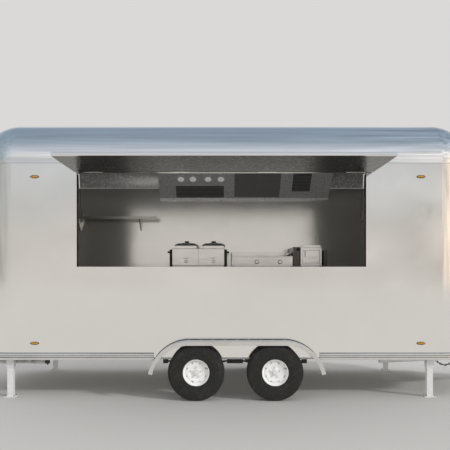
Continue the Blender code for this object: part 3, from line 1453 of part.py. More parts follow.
# Fittings inside
def build_bench():
    back = INNER_Y - GAP
    shapes = [
        box(BENCH_REAR_X, BENCH_FRONT_X, BENCH_FRONT_Y, back, BENCH_TOP_Z - BENCH_TOP, BENCH_TOP_Z),
        box(
            BENCH_REAR_X + BENCH_LEG_INSET,
            BENCH_FRONT_X - BENCH_LEG_INSET,
            BENCH_FRONT_Y + BENCH_LEG_INSET,
            back - BENCH_LEG_INSET,
            BENCH_SHELF_Z - BENCH_SHELF,
            BENCH_SHELF_Z,
        ),
    ]
    half = BENCH_LEG / 2
    for leg_x in bench_leg_places():
        for leg_y in (BENCH_FRONT_Y + BENCH_LEG_INSET + half, back - BENCH_LEG_INSET - half):
            shapes.append(
                box(
                    leg_x - half,
                    leg_x + half,
                    leg_y - half,
                    leg_y + half,
                    FLOOR_TOP_Z + GAP,
                    BENCH_TOP_Z - BENCH_TOP / 2,
                )
            )
    piece("back_bench", "brushed", shapes)


def bench_leg_places():
    inset = BENCH_LEG_INSET + BENCH_LEG / 2
    first = BENCH_REAR_X + inset
    pitch = (BENCH_FRONT_X - inset - first) / (BENCH_LEG_ROWS - 1)
    return [first + number * pitch for number in range(BENCH_LEG_ROWS)]


def build_counter():
    back = -(INNER_Y - GAP)
    front = back + COUNTER_DEPTH
    under = COUNTER_TOP_Z - COUNTER_TOP
    lip_low = COUNTER_TOP_Z - COUNTER_LIP
    shapes = [
        box(COUNTER_REAR_X, COUNTER_FRONT_X, back, front, under, COUNTER_TOP_Z),
        box(COUNTER_REAR_X, COUNTER_FRONT_X, front - COUNTER_GUSSET, front, lip_low, under + OVERRUN),
    ]
    for share in COUNTER_GUSSET_SHARES:
        middle = COUNTER_REAR_X + share * (COUNTER_FRONT_X - COUNTER_REAR_X)
        outline = [
            (back, under + OVERRUN),
            (back + COUNTER_GUSSET_REACH, under + OVERRUN),
            (back + COUNTER_GUSSET_REACH, under - COUNTER_GUSSET),
            (back + COUNTER_GUSSET, under - COUNTER_GUSSET_DROP),
            (back, under - COUNTER_GUSSET_DROP),
        ]
        shapes.append(prism(outline, 0, middle - COUNTER_GUSSET / 2, middle + COUNTER_GUSSET / 2))
    piece("serving_counter", "brushed", shapes)


def build_wall_shelf():
    back = INNER_Y - GAP
    under = SHELF_TOP_Z - SHELF_SHEET
    shapes = [
        box(SHELF_REAR_X, SHELF_FRONT_X, SHELF_FRONT_Y, back, under, SHELF_TOP_Z),
        box(
            SHELF_REAR_X,
            SHELF_FRONT_X,
            SHELF_FRONT_Y,
            SHELF_FRONT_Y + SHELF_SHEET,
            SHELF_TOP_Z - SHELF_LIP,
            under + SHELF_SHEET / 2,
        ),
    ]
    for share in SHELF_BRACKET_SHARES:
        middle = SHELF_REAR_X + share * (SHELF_FRONT_X - SHELF_REAR_X)
        outline = [
            (back, under + SHELF_SHEET / 2),
            (back - SHELF_BRACKET_REACH, under + SHELF_SHEET / 2),
            (back - SHELF_BRACKET_REACH, under - SHELF_BRACKET),
            (back - SHELF_BRACKET, under - SHELF_BRACKET_DROP),
            (back, under - SHELF_BRACKET_DROP),
        ]
        shapes.append(prism(outline, 0, middle - SHELF_BRACKET / 2, middle + SHELF_BRACKET / 2))
    piece("wall_shelf", "brushed", shapes)


def build_hood():
    back = INNER_Y - GAP
    radius = INNER_RADIUS - GAP
    cove = arc((INNER_Y - INNER_RADIUS, EAVES_Z), radius, 0.0, math.pi / 2, ARC_STEPS)
    top = EAVES_Z + radius
    outline = [
        (back, HOOD_BOTTOM_Z),
        *cove,
        (HOOD_TOP_Y, top),
        (HOOD_TOP_Y, top - HOOD_TOP_DROP),
        (back - HOOD_LIP, HOOD_BOTTOM_Z + HOOD_LIP_HEIGHT),
        (back - HOOD_LIP, HOOD_BOTTOM_Z),
    ]
    piece("hood", "brushed", [prism(outline, 0, HOOD_REAR_X, HOOD_FRONT_X)])


def build_fryer():
    back = KIT_FRONT_Y + KIT_DEPTH
    body = box(FRYER_REAR_X, FRYER_FRONT_X, KIT_FRONT_Y, back, BENCH_REST_Z, FRYER_TOP_Z)
    shapes = [body]
    for edge_x, side in ((FRYER_REAR_X, -1), (FRYER_FRONT_X, 1)):
        near = edge_x - side * OVERRUN
        far = edge_x + side * FRYER_BAR
        shapes.append(
            box(
                min(near, far),
                max(near, far),
                KIT_FRONT_Y + FRYER_BAR_DROP,
                back - FRYER_BAR_DROP,
                BENCH_REST_Z + FRYER_BAR_DROP,
                FRYER_TOP_Z - FRYER_BAR_DROP,
            )
        )
        grip_far = far + side * FRYER_GRIP
        grip_near = far - side * OVERRUN
        shapes.append(
            box(
                min(grip_near, grip_far),
                max(grip_near, grip_far),
                KIT_FRONT_Y + FRYER_BAR,
                KIT_FRONT_Y + FRYER_BAR + FRYER_GRIP_DEPTH,
                FRYER_GRIP_Z,
                FRYER_GRIP_Z + FRYER_GRIP_HEIGHT,
            )
        )
    for number in range(2):
        low_x = LID_REAR_X + number * LID_PITCH
        inset = TANK_WALL
        shapes.append(
            box(
                low_x + inset,
                low_x + LID_WIDTH - inset,
                KIT_FRONT_Y + LID_SET_BACK + inset,
                KIT_FRONT_Y + LID_SET_BACK + LID_DEPTH - inset,
                FRYER_TOP_Z - OVERRUN,
                FRYER_TOP_Z + TANK_RISE,
            )
        )
    piece("fryer", "brushed", shapes)
    for number, name in ((0, "fryer_lid_rear"), (1, "fryer_lid_front")):
        build_lid(name, LID_REAR_X + number * LID_PITCH)


def build_lid(name, low_x):
    low_y = KIT_FRONT_Y + LID_SET_BACK
    base = FRYER_TOP_Z + TANK_RISE + GAP
    middle_x = low_x + LID_WIDTH / 2
    middle_y = low_y + LID_DEPTH / 2
    shape = bmesh.new()
    rings = []
    edge = LID_THICKNESS - LID_CROWN
    for share, height in ((1.0, 0.0), (1.0, edge), (LID_CROWN_SHARE, LID_THICKNESS)):
        corners = []
        for side_x, side_y in ((-1, -1), (1, -1), (1, 1), (-1, 1)):
            place = (
                middle_x + side_x * share * LID_WIDTH / 2,
                middle_y + side_y * share * LID_DEPTH / 2,
                base + height,
            )
            corners.append(shape.verts.new(place))
        rings.append(corners)
    for low, high in zip(rings, rings[1:]):
        bridge(shape, low, high)
    shape.faces.new(rings[0])
    shape.faces.new(rings[-1])
    top = base + LID_THICKNESS
    knob_line = [(0.0, top - OVERRUN), (LID_KNOB_RADIUS * LID_KNOB_STEM_SHARE, top - OVERRUN)]
    for share_out, share_up in LID_KNOB_SHARES:
        knob_line.append((LID_KNOB_RADIUS * share_out, top + LID_KNOB_HEIGHT * share_up))
    knob = lathe(knob_line, 2, (middle_x, middle_y, 0.0), SMALL_SIDES)
    piece(name, "brushed", [finish_shape(shape), knob])


def build_griddle():
    back = KIT_FRONT_Y + KIT_DEPTH
    top = GRIDDLE_TOP_Z - GRIDDLE_SPLASH
    shapes = [box(GRIDDLE_REAR_X, GRIDDLE_FRONT_X, KIT_FRONT_Y, back, BENCH_REST_Z, top)]
    sheet = GRIDDLE_SPLASH_SHEET
    profile = [
        (KIT_FRONT_Y + KIT_DEPTH * GRIDDLE_SPLASH_FOOT_SHARE, top - OVERRUN),
        (KIT_FRONT_Y + KIT_DEPTH * GRIDDLE_SPLASH_HEAD_SHARE, GRIDDLE_TOP_Z),
        (back, GRIDDLE_TOP_Z),
        (back, top - OVERRUN),
    ]
    for low in (GRIDDLE_REAR_X, GRIDDLE_FRONT_X - sheet):
        shapes.append(prism(profile, 0, low, low + sheet))
    shapes.append(box(GRIDDLE_REAR_X, GRIDDLE_FRONT_X, back - sheet, back, top - OVERRUN, GRIDDLE_TOP_Z))
    for share in GRIDDLE_KNOB_SHARES:
        middle = GRIDDLE_REAR_X + share * (GRIDDLE_FRONT_X - GRIDDLE_REAR_X)
        ring = circle((middle, GRIDDLE_KNOB_Z), GRIDDLE_KNOB_RADIUS, SMALL_SIDES)
        shapes.append(prism(ring, 1, KIT_FRONT_Y - GRIDDLE_KNOB_PROUD, KIT_FRONT_Y + OVERRUN))
    piece("griddle", "brushed", shapes)


def build_warmer():
    back = KIT_FRONT_Y + KIT_DEPTH
    post = box(
        WARMER_POST_X, WARMER_POST_X + WARMER_POST_WIDTH, KIT_FRONT_Y, back, BENCH_REST_Z, WARMER_POST_TOP_Z
    )
    cabinet = box(WARMER_REAR_X, WARMER_FRONT_X, KIT_FRONT_Y, back, BENCH_REST_Z, WARMER_TOP_Z)
    end = box(
        WARMER_END_X, WARMER_END_X + WARMER_END_WIDTH, KIT_FRONT_Y, back, BENCH_REST_Z, WARMER_END_TOP_Z
    )
    base = box(
        WARMER_POST_X,
        WARMER_END_X + WARMER_END_WIDTH,
        KIT_FRONT_Y + WARMER_BASE,
        back - WARMER_BASE,
        BENCH_REST_Z,
        BENCH_REST_Z + WARMER_BASE,
    )
    piece("warmer", "brushed", [cabinet, post, end, base])


build_chassis()
build_drawbar("drawbar_near", -1)
build_drawbar("drawbar_far", 1)
build_coupler()
build_platform()
build_jack()
build_jockey()
build_floor()
build_serving_wall()
build_far_wall()
build_front_end()
build_rear_end()
build_roof()
build_vent()
build_skirt("skirt_rail_front", 1)
build_skirt("skirt_rail_rear", -1)
build_fender("fender_near", -1)
build_fender("fender_far", 1)
build_axle("axle_rear", WHEEL_REAR_X)
build_axle("axle_front", WHEEL_FRONT_X)
build_springs("springs_near", -1)
build_springs("springs_far", 1)
for wheel in wheel_places():
    build_wheel(*wheel)
for leg in leg_places():
    build_leg(*leg)
build_bench()
build_counter()
build_wall_shelf()
build_hood()
build_fryer()
build_griddle()
build_warmer()
build_flap()
for (strut_x, _), strut_name in zip(strut_places(), ("rear", "front")):
    build_strut(strut_x, strut_name)
build_door()
build_rear_gear()
build_drain()
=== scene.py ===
"""Looks of the food trailer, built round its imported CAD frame."""

import json
import math

import bmesh
import bpy
from mathutils import Matrix, Vector

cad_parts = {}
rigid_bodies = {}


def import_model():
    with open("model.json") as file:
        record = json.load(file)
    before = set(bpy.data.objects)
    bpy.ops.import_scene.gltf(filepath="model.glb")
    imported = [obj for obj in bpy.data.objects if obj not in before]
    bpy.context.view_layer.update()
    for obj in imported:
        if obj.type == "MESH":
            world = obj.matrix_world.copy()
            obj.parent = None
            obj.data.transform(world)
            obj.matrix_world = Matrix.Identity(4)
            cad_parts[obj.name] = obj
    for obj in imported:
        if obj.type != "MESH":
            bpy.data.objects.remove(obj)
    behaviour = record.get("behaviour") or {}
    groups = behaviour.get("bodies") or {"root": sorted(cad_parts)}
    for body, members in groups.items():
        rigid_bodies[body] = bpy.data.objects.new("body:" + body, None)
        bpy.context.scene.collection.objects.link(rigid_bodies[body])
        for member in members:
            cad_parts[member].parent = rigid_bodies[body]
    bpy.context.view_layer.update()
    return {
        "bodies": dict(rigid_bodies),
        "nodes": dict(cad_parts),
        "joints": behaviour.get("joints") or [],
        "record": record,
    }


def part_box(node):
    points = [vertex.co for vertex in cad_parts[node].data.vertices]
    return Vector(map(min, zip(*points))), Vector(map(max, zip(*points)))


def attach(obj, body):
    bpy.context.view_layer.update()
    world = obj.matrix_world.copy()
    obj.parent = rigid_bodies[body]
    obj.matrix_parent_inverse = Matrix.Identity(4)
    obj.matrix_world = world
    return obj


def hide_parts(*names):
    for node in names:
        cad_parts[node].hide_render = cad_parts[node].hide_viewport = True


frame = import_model()

# Camera of the photograph, in the body's own frame
IMAGE_PIXELS = 450
FOCAL_PIXELS = 688.0
SENSOR_MM = 36.0
VANISHING_PIXEL = (223.0, 273.0)
CAMERA_X = -0.035
CAMERA_Y = -7.93
CAMERA_Z = 1.254

# Sizes that the frame gives
floor_low, floor_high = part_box("floor")
roof_low, roof_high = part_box("roof")
BODY = Vector(((floor_low.x + floor_high.x) / 2, (floor_low.y + floor_high.y) / 2, 0.0))
HALF_LENGTH = (roof_high.x - roof_low.x) / 2
HALF_WIDTH = (roof_high.y - roof_low.y) / 2
EAVES_Z = roof_low.z
CORNER_RADIUS = roof_high.z - roof_low.z
FLAT_X = HALF_LENGTH - CORNER_RADIUS
FLAT_Y = HALF_WIDTH - CORNER_RADIUS
WALL_BOTTOM_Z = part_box("far_wall")[0].z


def local_box(node):
    low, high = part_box(node)
    return low - BODY, high - BODY


WALL = HALF_WIDTH - local_box("floor")[1].y
INNER_Y = HALF_WIDTH - WALL
INNER_X = HALF_LENGTH - WALL
INNER_RADIUS = CORNER_RADIUS - WALL

# Sizes of the fittings
KIT_FRONT = local_box("fryer")[0].y
FRYER_LOW_X = local_box("fryer")[0].x + 0.058
FRYER_HIGH_X = local_box("fryer")[1].x - 0.058
FRYER_TOP = local_box("fryer_lid_rear")[0].z - 0.0363
LIDS_X = (local_box("fryer_lid_rear")[0].x, local_box("fryer_lid_front")[0].x)
LID_LENGTH = local_box("fryer_lid_rear")[1].x - LIDS_X[0]
LID_Y = local_box("fryer_lid_rear")[0].y
door_low, DOOR_HIGH = local_box("rear_door")
DOOR_HALF = 0.370
DOOR_GAP = 0.006
DOOR_LOW = Vector((door_low.x, -DOOR_HALF, door_low.z))
WINDOW = (-1.498, 1.396, 1.317, 2.260)
FLAP_UNDER_Z = 2.260
STRUT_PLACES = [(WINDOW[0] + 0.045, -1), (WINDOW[1] - 0.045, 1)]
MARKERS_X = (-1.919, 1.944)
MARKERS_Z = (0.551, 2.217)
FENDER_TOP = local_box("fender_near")[1].z
FENDER_RADIUS = 0.40
FENDER_REAR_X = -0.373
FENDER_FRONT_X = 0.576
FLAP_PIVOT = (-HALF_WIDTH - 0.017, 2.272)
FLAP_KNUCKLE = 0.010
FLAP_KNUCKLE_HALF = 0.045
STRUT_EYE_BELOW = 0.052
STRUT_EYE_REACH = 0.090
RIM_RADIUS = 0.1308
RIM_HOLES = 8
RIM_HOLE_CIRCLE = 0.098
STUDS = 5
STUD_CIRCLE = 0.049
FENDER_REACH = 0.20
LEGS = ("leg_rear_near", "leg_rear_far", "leg_front_near", "leg_front_far")
LEG_HALF = 0.030
LEG_FOOT_TOP = 0.010
FOOT_BOLT_REACH = 0.042
AXLE_HOOP = 0.036
CHAIN_START = (2.26, -0.495, 0.316)
CHAIN_END = (2.50, -0.412, 0.316)
CHAIN_LINKS = 9
CHAIN_SAG = 0.24

# Fineness
FINE_ARC = 20
SEAM = 0.0012
EDGE = 0.002


# Shapes in the body's own frame
def closed(shape):
    bmesh.ops.recalc_face_normals(shape, faces=shape.faces)
    return shape


def prism(outline, axis, low, high):
    shape = bmesh.new()
    ends = []
    for along in (low, high):
        ring = []
        for first, second in outline:
            place = [first, second]
            place.insert(axis, along)
            ring.append(shape.verts.new(place))
        ends.append(ring)
    shape.faces.new(ends[0])
    shape.faces.new(list(reversed(ends[1])))
    count = len(outline)
    for index in range(count):
        after = (index + 1) % count
        shape.faces.new((ends[0][index], ends[1][index], ends[1][after], ends[0][after]))
    return closed(shape)


def box(low_x, high_x, low_y, high_y, low_z, high_z):
    outline = [(low_x, low_y), (high_x, low_y), (high_x, high_y), (low_x, high_y)]
    return prism(outline, 2, low_z, high_z)


def arc(centre, radius, start, end, steps):
    points = []
    for step in range(steps + 1):
        angle = start + (end - start) * step / steps
        points.append((centre[0] + radius * math.cos(angle), centre[1] + radius * math.sin(angle)))
    return points


def circle(centre, radius, sides):
    return arc(centre, radius, 0.0, math.tau, sides)[:-1]


def oval(centre, half_first, half_second, sides):
    return [
        (centre[0] + half_first * first, centre[1] + half_second * second)
        for first, second in circle((0.0, 0.0), 1.0, sides)
    ]


def rounded(half_x, half_y, radius, steps, centre=(0.0, 0.0)):
    points = []
    for corner, (side_x, side_y) in enumerate(((1, 1), (-1, 1), (-1, -1), (1, -1))):
        middle = (centre[0] + side_x * (half_x - radius), centre[1] + side_y * (half_y - radius))
        start = corner * math.pi / 2
        points += arc(middle, radius, start, start + math.pi / 2, steps)
    return points


def loft(rings, wrap=False, cap=True):
    """Joins rings of points of the same count, each ring closed on itself."""
    shape = bmesh.new()
    rows = [[shape.verts.new(place) for place in ring] for ring in rings]
    pairs = list(zip(rows, rows[1:]))
    if wrap:
        pairs.append((rows[-1], rows[0]))
    for low, high in pairs:
        count = len(low)
        for index in range(count):
            after = (index + 1) % count
            shape.faces.new((low[index], low[after], high[after], high[index]))
    if cap and not wrap:
        shape.faces.new(rows[0])
        shape.faces.new(list(reversed(rows[-1])))
    bmesh.ops.remove_doubles(shape, verts=shape.verts, dist=1e-6)
    bmesh.ops.dissolve_degenerate(shape, edges=shape.edges, dist=1e-6)
    return closed(shape)


def lathe(profile, axis, centre, sides, ring=False):
    across = [index for index in range(3) if index != axis]
    rings = []
    for radius, along in profile:
        places = []
        for side in range(sides):
            angle = math.tau * side / sides
            place = [0.0, 0.0, 0.0]
            place[across[0]] = centre[across[0]] + radius * math.cos(angle)
            place[across[1]] = centre[across[1]] + radius * math.sin(angle)
            place[axis] = centre[axis] + along
            places.append(place)
        rings.append(places)
    return loft(rings, wrap=ring, cap=False)


def bar(start, end, radius, sides=12, end_radius=None):
    start = Vector(start)
    span = Vector(end) - start
    last = radius if end_radius is None else end_radius
    rings = []
    for size, height in ((radius, 0.0), (last, span.length)):
        rings.append([(x, y, height) for x, y in circle((0.0, 0.0), size, sides)])
    shape = loft(rings)
    turn = Vector((0, 0, 1)).rotation_difference(span).to_matrix().to_4x4()
    bmesh.ops.transform(shape, matrix=Matrix.Translation(start) @ turn, verts=shape.verts)
    return closed(shape)


def tube_along(points, radius, sides=8):
    """A round bar along a smooth list of points."""
    points = [Vector(point) for point in points]
    rings = []
    up = Vector((0.0, 0.0, 1.0))
    for index, point in enumerate(points):
        before = points[max(index - 1, 0)]
        after = points[min(index + 1, len(points) - 1)]
        along = (after - before).normalized()
        side = along.cross(up)
        if side.length < 1e-3:
            side = along.cross(Vector((1.0, 0.0, 0.0)))
        side.normalize()
        upper = side.cross(along).normalized()
        rings.append(
            [point + side * (radius * math.cos(a)) + upper * (radius * math.sin(a)) for a in
             [math.tau * k / sides for k in range(sides)]]
        )
    return loft(rings)


def ring_link(centre, along, across, length, radius, sides=6, steps=14):
    """One oval chain link, long along one direction."""
    along = Vector(along).normalized()
    across = Vector(across).normalized()
    over = along.cross(across)
    half = length / 2 - radius * 2.2
    rings = []
    for step in range(steps):
        angle = math.tau * step / steps
        reach = radius * 2.2
        shift = half if math.cos(angle) > 0 else -half
        middle = Vector(centre) + along * (shift + reach * math.cos(angle)) + across * (
            reach * math.sin(angle)
        )
        out = along * math.cos(angle) + across * math.sin(angle)
        rings.append(
            [middle + out * (radius * math.cos(a)) + over * (radius * math.sin(a)) for a in
             [math.tau * k / sides for k in range(sides)]]
        )
    return loft(rings, wrap=True)


def moved(shape, offset):
    bmesh.ops.translate(shape, vec=offset, verts=shape.verts)
    return shape


def mirrored(shape, axis, about=0.0):
    copy = shape.copy()
    for vert in copy.verts:
        vert.co[axis] = 2 * about - vert.co[axis]
    return closed(copy)


def bolt(centre, axis, radius, height, way=1):
    """A domed hexagon head on a washer, its axis along X, Y or Z."""
    head = lathe(
        [
            (0.0, height), (radius * 0.7, height), (radius, height * 0.7), (radius, height * 0.25),
            (0.0, height * 0.25),
        ],
        axis, (0, 0, 0), 6,
    )
    washer = lathe(
        [(0.0, height * 0.3), (radius * 1.3, height * 0.3), (radius * 1.35, 0.0), (0.0, -height * 0.2)],
        axis, (0, 0, 0), 16,
    )
    shapes = []
    for shape in (head, washer):
        if way < 0:
            shape = mirrored(shape, axis)
        shapes.append(moved(shape, Vector(centre)))
    return shapes


def joined(shapes):
    mesh = bpy.data.meshes.new("joined")
    whole = bmesh.new()
    for shape in shapes:
        shape.to_mesh(mesh)
        shape.free()
        whole.from_mesh(mesh)
    bpy.data.meshes.remove(mesh)
    return whole


def add(name, shapes, look, body, stands_for=(), bevel=0.0, segments=2, smooth=35):
    """A piece from one or more shapes in the body's frame, riding on a CAD body."""
    if not isinstance(shapes, (list, tuple)):
        shapes = [shapes]
    whole = joined(shapes)
    bmesh.ops.translate(whole, vec=BODY, verts=whole.verts)
    mesh = bpy.data.meshes.new(name)
    whole.to_mesh(mesh)
    whole.free()
    piece = bpy.data.objects.new(name, mesh)
    bpy.context.scene.collection.objects.link(piece)
    mesh.materials.append(look)
    mesh.shade_smooth()
    mesh.set_sharp_from_angle(angle=math.radians(smooth))
    if bevel:
        soften(piece, bevel, segments)
    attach(piece, body)
    if stands_for:
        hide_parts(*stands_for)
    return piece


def soften(piece, width, segments=2):
    step = piece.modifiers.new("Edges", "BEVEL")
    step.width = width
    step.segments = segments
    step.limit_method = "ANGLE"
    step.angle_limit = math.radians(40)
    step.harden_normals = True


def cut_out(shapes, cutters):
    """The shapes as one mesh with the cutters taken out."""
    made = []
    for shape in (joined(shapes), joined(cutters)):
        mesh = bpy.data.meshes.new("cutting")
        shape.to_mesh(mesh)
        shape.free()
        helper = bpy.data.objects.new("cutting", mesh)
        bpy.context.scene.collection.objects.link(helper)
        made.append(helper)
    whole, cutter = made
    step = whole.modifiers.new("Cut", "BOOLEAN")
    step.operation = "DIFFERENCE"
    step.solver = "EXACT"
    step.object = cutter
    bpy.context.view_layer.update()
    result = bmesh.new()
    result.from_object(whole, bpy.context.evaluated_depsgraph_get())
    for helper in made:
        mesh = helper.data
        bpy.data.objects.remove(helper, do_unlink=True)
        bpy.data.meshes.remove(mesh)
    return result


class Look:
    """Builds one procedural material from its object coordinates, in metres."""

    def __init__(self, name, slot):
        self.material = bpy.data.materials.new(name)
        self.material.use_nodes = True
        self.nodes = self.material.node_tree.nodes
        self.links = self.material.node_tree.links
        self.shader = self.nodes["Principled BSDF"]
        self.place = self.nodes.new("ShaderNodeTexCoord").outputs["Object"]
        self.normal = None

    def set(self, **values):
        for name, value in values.items():
            self.shader.inputs[name.replace("_", " ")].default_value = value

    def stretched(self, scale):
        step = self.nodes.new("ShaderNodeMapping")
        step.inputs["Scale"].default_value = scale
        self.links.new(self.place, step.inputs["Vector"])
        return step.outputs["Vector"]

    def noise(self, scale, detail=4.0, rough=0.55, stretch=None):
        step = self.nodes.new("ShaderNodeTexNoise")
        step.inputs["Scale"].default_value = scale
        step.inputs["Detail"].default_value = detail
        step.inputs["Roughness"].default_value = rough
        self.links.new(self.stretched(stretch) if stretch else self.place, step.inputs["Vector"])
        return step.outputs["Fac"]

    def span(self, value, low, high, from_low=0.3, from_high=0.7):
        step = self.nodes.new("ShaderNodeMapRange")
        step.inputs["From Min"].default_value = from_low
        step.inputs["From Max"].default_value = from_high
        step.inputs["To Min"].default_value = low
        step.inputs["To Max"].default_value = high
        self.links.new(value, step.inputs["Value"])
        return step.outputs["Result"]

    def mix(self, value, first, second):
        step = self.nodes.new("ShaderNodeMix")
        step.data_type = "RGBA"
        self.links.new(value, step.inputs["Factor"])
        for socket, colour in ((step.inputs[6], first), (step.inputs[7], second)):
            if isinstance(colour, tuple):
                socket.default_value = (*colour, 1.0)
            else:
                self.links.new(colour, socket)
        return step.outputs[2]

    def colour(self, source):
        self.links.new(source, self.shader.inputs["Base Color"])

    def roughness(self, source):
        self.links.new(source, self.shader.inputs["Roughness"])

    def bump(self, height, strength, distance):
        step = self.nodes.new("ShaderNodeBump")
        step.inputs["Strength"].default_value = strength
        step.inputs["Distance"].default_value = distance
        self.links.new(height, step.inputs["Height"])
        if self.normal:
            self.links.new(self.normal, step.inputs["Normal"])
        self.normal = step.outputs["Normal"]
        self.links.new(self.normal, self.shader.inputs["Normal"])


def polished_steel(name, slot, tint, low_rough, high_rough, wave, metallic=1.0):
    look = Look(name, slot)
    look.set(Metallic=metallic)
    cloud = look.noise(1.1, 3.0)
    shade = tuple(value * 0.955 for value in tint)
    smudge = look.noise(7.0, 5.0, 0.6)
    look.colour(look.mix(look.span(cloud, 0.0, 1.0), shade, tint))
    look.roughness(look.span(smudge, low_rough, high_rough))
    look.bump(look.noise(0.9, 1.0), wave, 0.02)
    look.bump(look.noise(420.0, 2.0), 0.02, 0.0004)
    return look.material


def grained_metal(name, slot, tint, grain, low_rough, high_rough, strength):
    """Metal with a fine drawn grain, stretched along one direction."""
    look = Look(name, slot)
    look.set(Metallic=1.0)
    lines = look.noise(60.0, 5.0, 0.65, grain)
    patch = look.noise(3.0, 4.0)
    shade = tuple(value * 0.86 for value in tint)
    look.colour(look.mix(look.span(patch, 0.0, 1.0), shade, tint))
    look.roughness(look.span(lines, low_rough, high_rough))
    look.bump(lines, strength, 0.0006)
    return look.material


def galvanised(name, slot):
    look = Look(name, slot)
    look.set(Metallic=0.25)
    step = look.nodes.new("ShaderNodeTexVoronoi")
    step.inputs["Scale"].default_value = 55.0
    look.links.new(look.place, step.inputs["Vector"])
    spangle = look.span(step.outputs["Distance"], 0.0, 1.0, 0.0, 0.7)
    look.colour(look.mix(spangle, (0.88, 0.885, 0.885), (0.77, 0.775, 0.78)))
    look.roughness(look.span(look.noise(30.0), 0.34, 0.60))
    look.bump(look.noise(160.0, 3.0), 0.12, 0.0008)
    return look.material


def painted(name, slot, tint, worn, low_rough=0.30, high_rough=0.50, metallic=0.0, coat=0.2):
    look = Look(name, slot)
    look.set(Metallic=metallic, Coat_Weight=coat)
    wear = look.span(look.noise(26.0, 6.0, 0.7), 0.0, 1.0, 0.56, 0.74)
    look.colour(look.mix(wear, tint, worn))
    look.roughness(look.span(look.noise(40.0), low_rough, high_rough))
    look.bump(look.noise(300.0, 2.0), 0.06, 0.0004)
    return look.material


def rubber(name, slot):
    look = Look(name, slot)
    look.set(Specular_IOR_Level=0.35)
    dust = look.span(look.noise(14.0, 6.0, 0.7), 0.0, 1.0, 0.50, 0.80)
    look.colour(look.mix(dust, (0.020, 0.020, 0.020), (0.048, 0.046, 0.043)))
    look.roughness(look.span(look.noise(50.0), 0.58, 0.85))
    look.bump(look.noise(500.0, 2.0), 0.15, 0.0005)
    return look.material


def moulded(name, slot, tint, low_rough=0.38, high_rough=0.55):
    look = Look(name, slot)
    shade = tuple(value * 0.7 for value in tint)
    look.colour(look.mix(look.span(look.noise(18.0), 0.0, 1.0), shade, tint))
    look.roughness(look.span(look.noise(70.0), low_rough, high_rough))
    look.bump(look.noise(900.0, 2.0), 0.10, 0.0003)
    return look.material


def lens(name, slot, tint):
    look = Look(name, slot)
    look.set(Transmission_Weight=0.35, Coat_Weight=0.6, IOR=1.49)
    deep = tuple(value * 0.75 for value in tint)
    look.colour(look.mix(look.span(look.noise(60.0), 0.0, 1.0), deep, tint))
    look.roughness(look.span(look.noise(90.0), 0.10, 0.20))
    return look.material


def clear_glass(name, slot):
    look = Look(name, slot)
    look.set(Transmission_Weight=1.0, IOR=1.45)
    look.colour(look.mix(look.span(look.noise(3.0), 0.0, 1.0), (0.93, 0.97, 0.96), (0.97, 0.99, 0.99)))
    look.roughness(look.span(look.noise(9.0), 0.01, 0.05))
    return look.material


def tread_plate(name, slot):
    look = Look(name, slot)
    look.set(Metallic=1.0)
    step = look.nodes.new("ShaderNodeTexVoronoi")
    step.inputs["Scale"].default_value = 28.0
    step.inputs["Randomness"].default_value = 0.0
    look.links.new(look.place, step.inputs["Vector"])
    stud = look.span(step.outputs["Distance"], 1.0, 0.0, 0.22, 0.34)
    look.colour(look.mix(look.span(look.noise(5.0), 0.0, 1.0), (0.40, 0.40, 0.39), (0.52, 0.52, 0.50)))
    look.roughness(look.span(look.noise(30.0), 0.34, 0.55))
    look.bump(stud, 0.5, 0.002)
    return look.material


SHELL = polished_steel("shell_mirror", "shell_steel", (0.87, 0.865, 0.85), 0.06, 0.12, 0.10)
LINING = polished_steel("lining_mirror", "shell_steel", (0.94, 0.93, 0.90), 0.13, 0.19, 0.05, 0.84)
DULL = painted("lining_dull", "shell_steel", (0.80, 0.79, 0.77), (0.72, 0.71, 0.69), 0.34, 0.44, 0.35, 0.0)
CEILING = painted(
    "lining_ceiling", "shell_steel", (0.90, 0.90, 0.89), (0.82, 0.82, 0.81), 0.22, 0.32, 0.30, 0.0
)
# Flap underside: a near-black tint that is painted reflection. It stands in for the shaded cabin that the
# steel underside mirrors, not the steel's own colour.
UNDERSIDE_PAINTED_REFLECTION = painted(
    "flap_under_painted_reflection", "shell_steel", (0.080, 0.078, 0.076), (0.074, 0.072, 0.070), 0.24, 0.34, 0.5, 0.0
)
SATIN = grained_metal(
    "appliance_satin", "kitchen_steel", (0.88, 0.86, 0.83), (0.05, 1.0, 1.0), 0.16, 0.26, 0.05
)
BENCH = grained_metal(
    "bench_brushed", "kitchen_steel", (0.70, 0.69, 0.67), (0.04, 1.0, 1.0), 0.24, 0.38, 0.12
)
ALUMINIUM = grained_metal(
    "rolled_aluminium", "fender_aluminium", (0.80, 0.80, 0.79), (0.06, 1.0, 1.0), 0.22, 0.36, 0.08
)
ZINC = galvanised("zinc_coat", "galvanised")
IRON = painted("spring_black", "dark_iron", (0.030, 0.030, 0.030), (0.10, 0.07, 0.05), 0.45, 0.70)
RIM = painted("rim_silver", "rim_paint", (0.93, 0.93, 0.92), (0.74, 0.74, 0.73), 0.28, 0.44, 0.1, 0.3)
TYRE = rubber("tyre_rubber", "tyre")
BLACK = moulded("black_moulded", "black_plastic", (0.030, 0.030, 0.030))
SEAL = moulded("rubber_seal", "black_plastic", (0.018, 0.018, 0.018), 0.55, 0.75)
PIPE = moulded("pipe_pale", "pipe_plastic", (0.66, 0.66, 0.63))
AMBER = lens("amber_lens", "red_lens", (0.80, 0.40, 0.03))
RED = lens("red_lens", "red_lens", (0.60, 0.02, 0.02))
GLASS = clear_glass("door_glass", "window_glass")
PLATE = tread_plate("floor_studs", "floor_plate")
FROST = painted("lamp_frost", "window_glass", (0.92, 0.92, 0.90), (0.84, 0.84, 0.82), 0.22, 0.34, 0.0, 0.2)
frost_inputs = FROST.node_tree.nodes["Principled BSDF"].inputs
frost_inputs["Emission Color"].default_value = (1.0, 0.98, 0.95, 1.0)
frost_inputs["Emission Strength"].default_value = 0.22
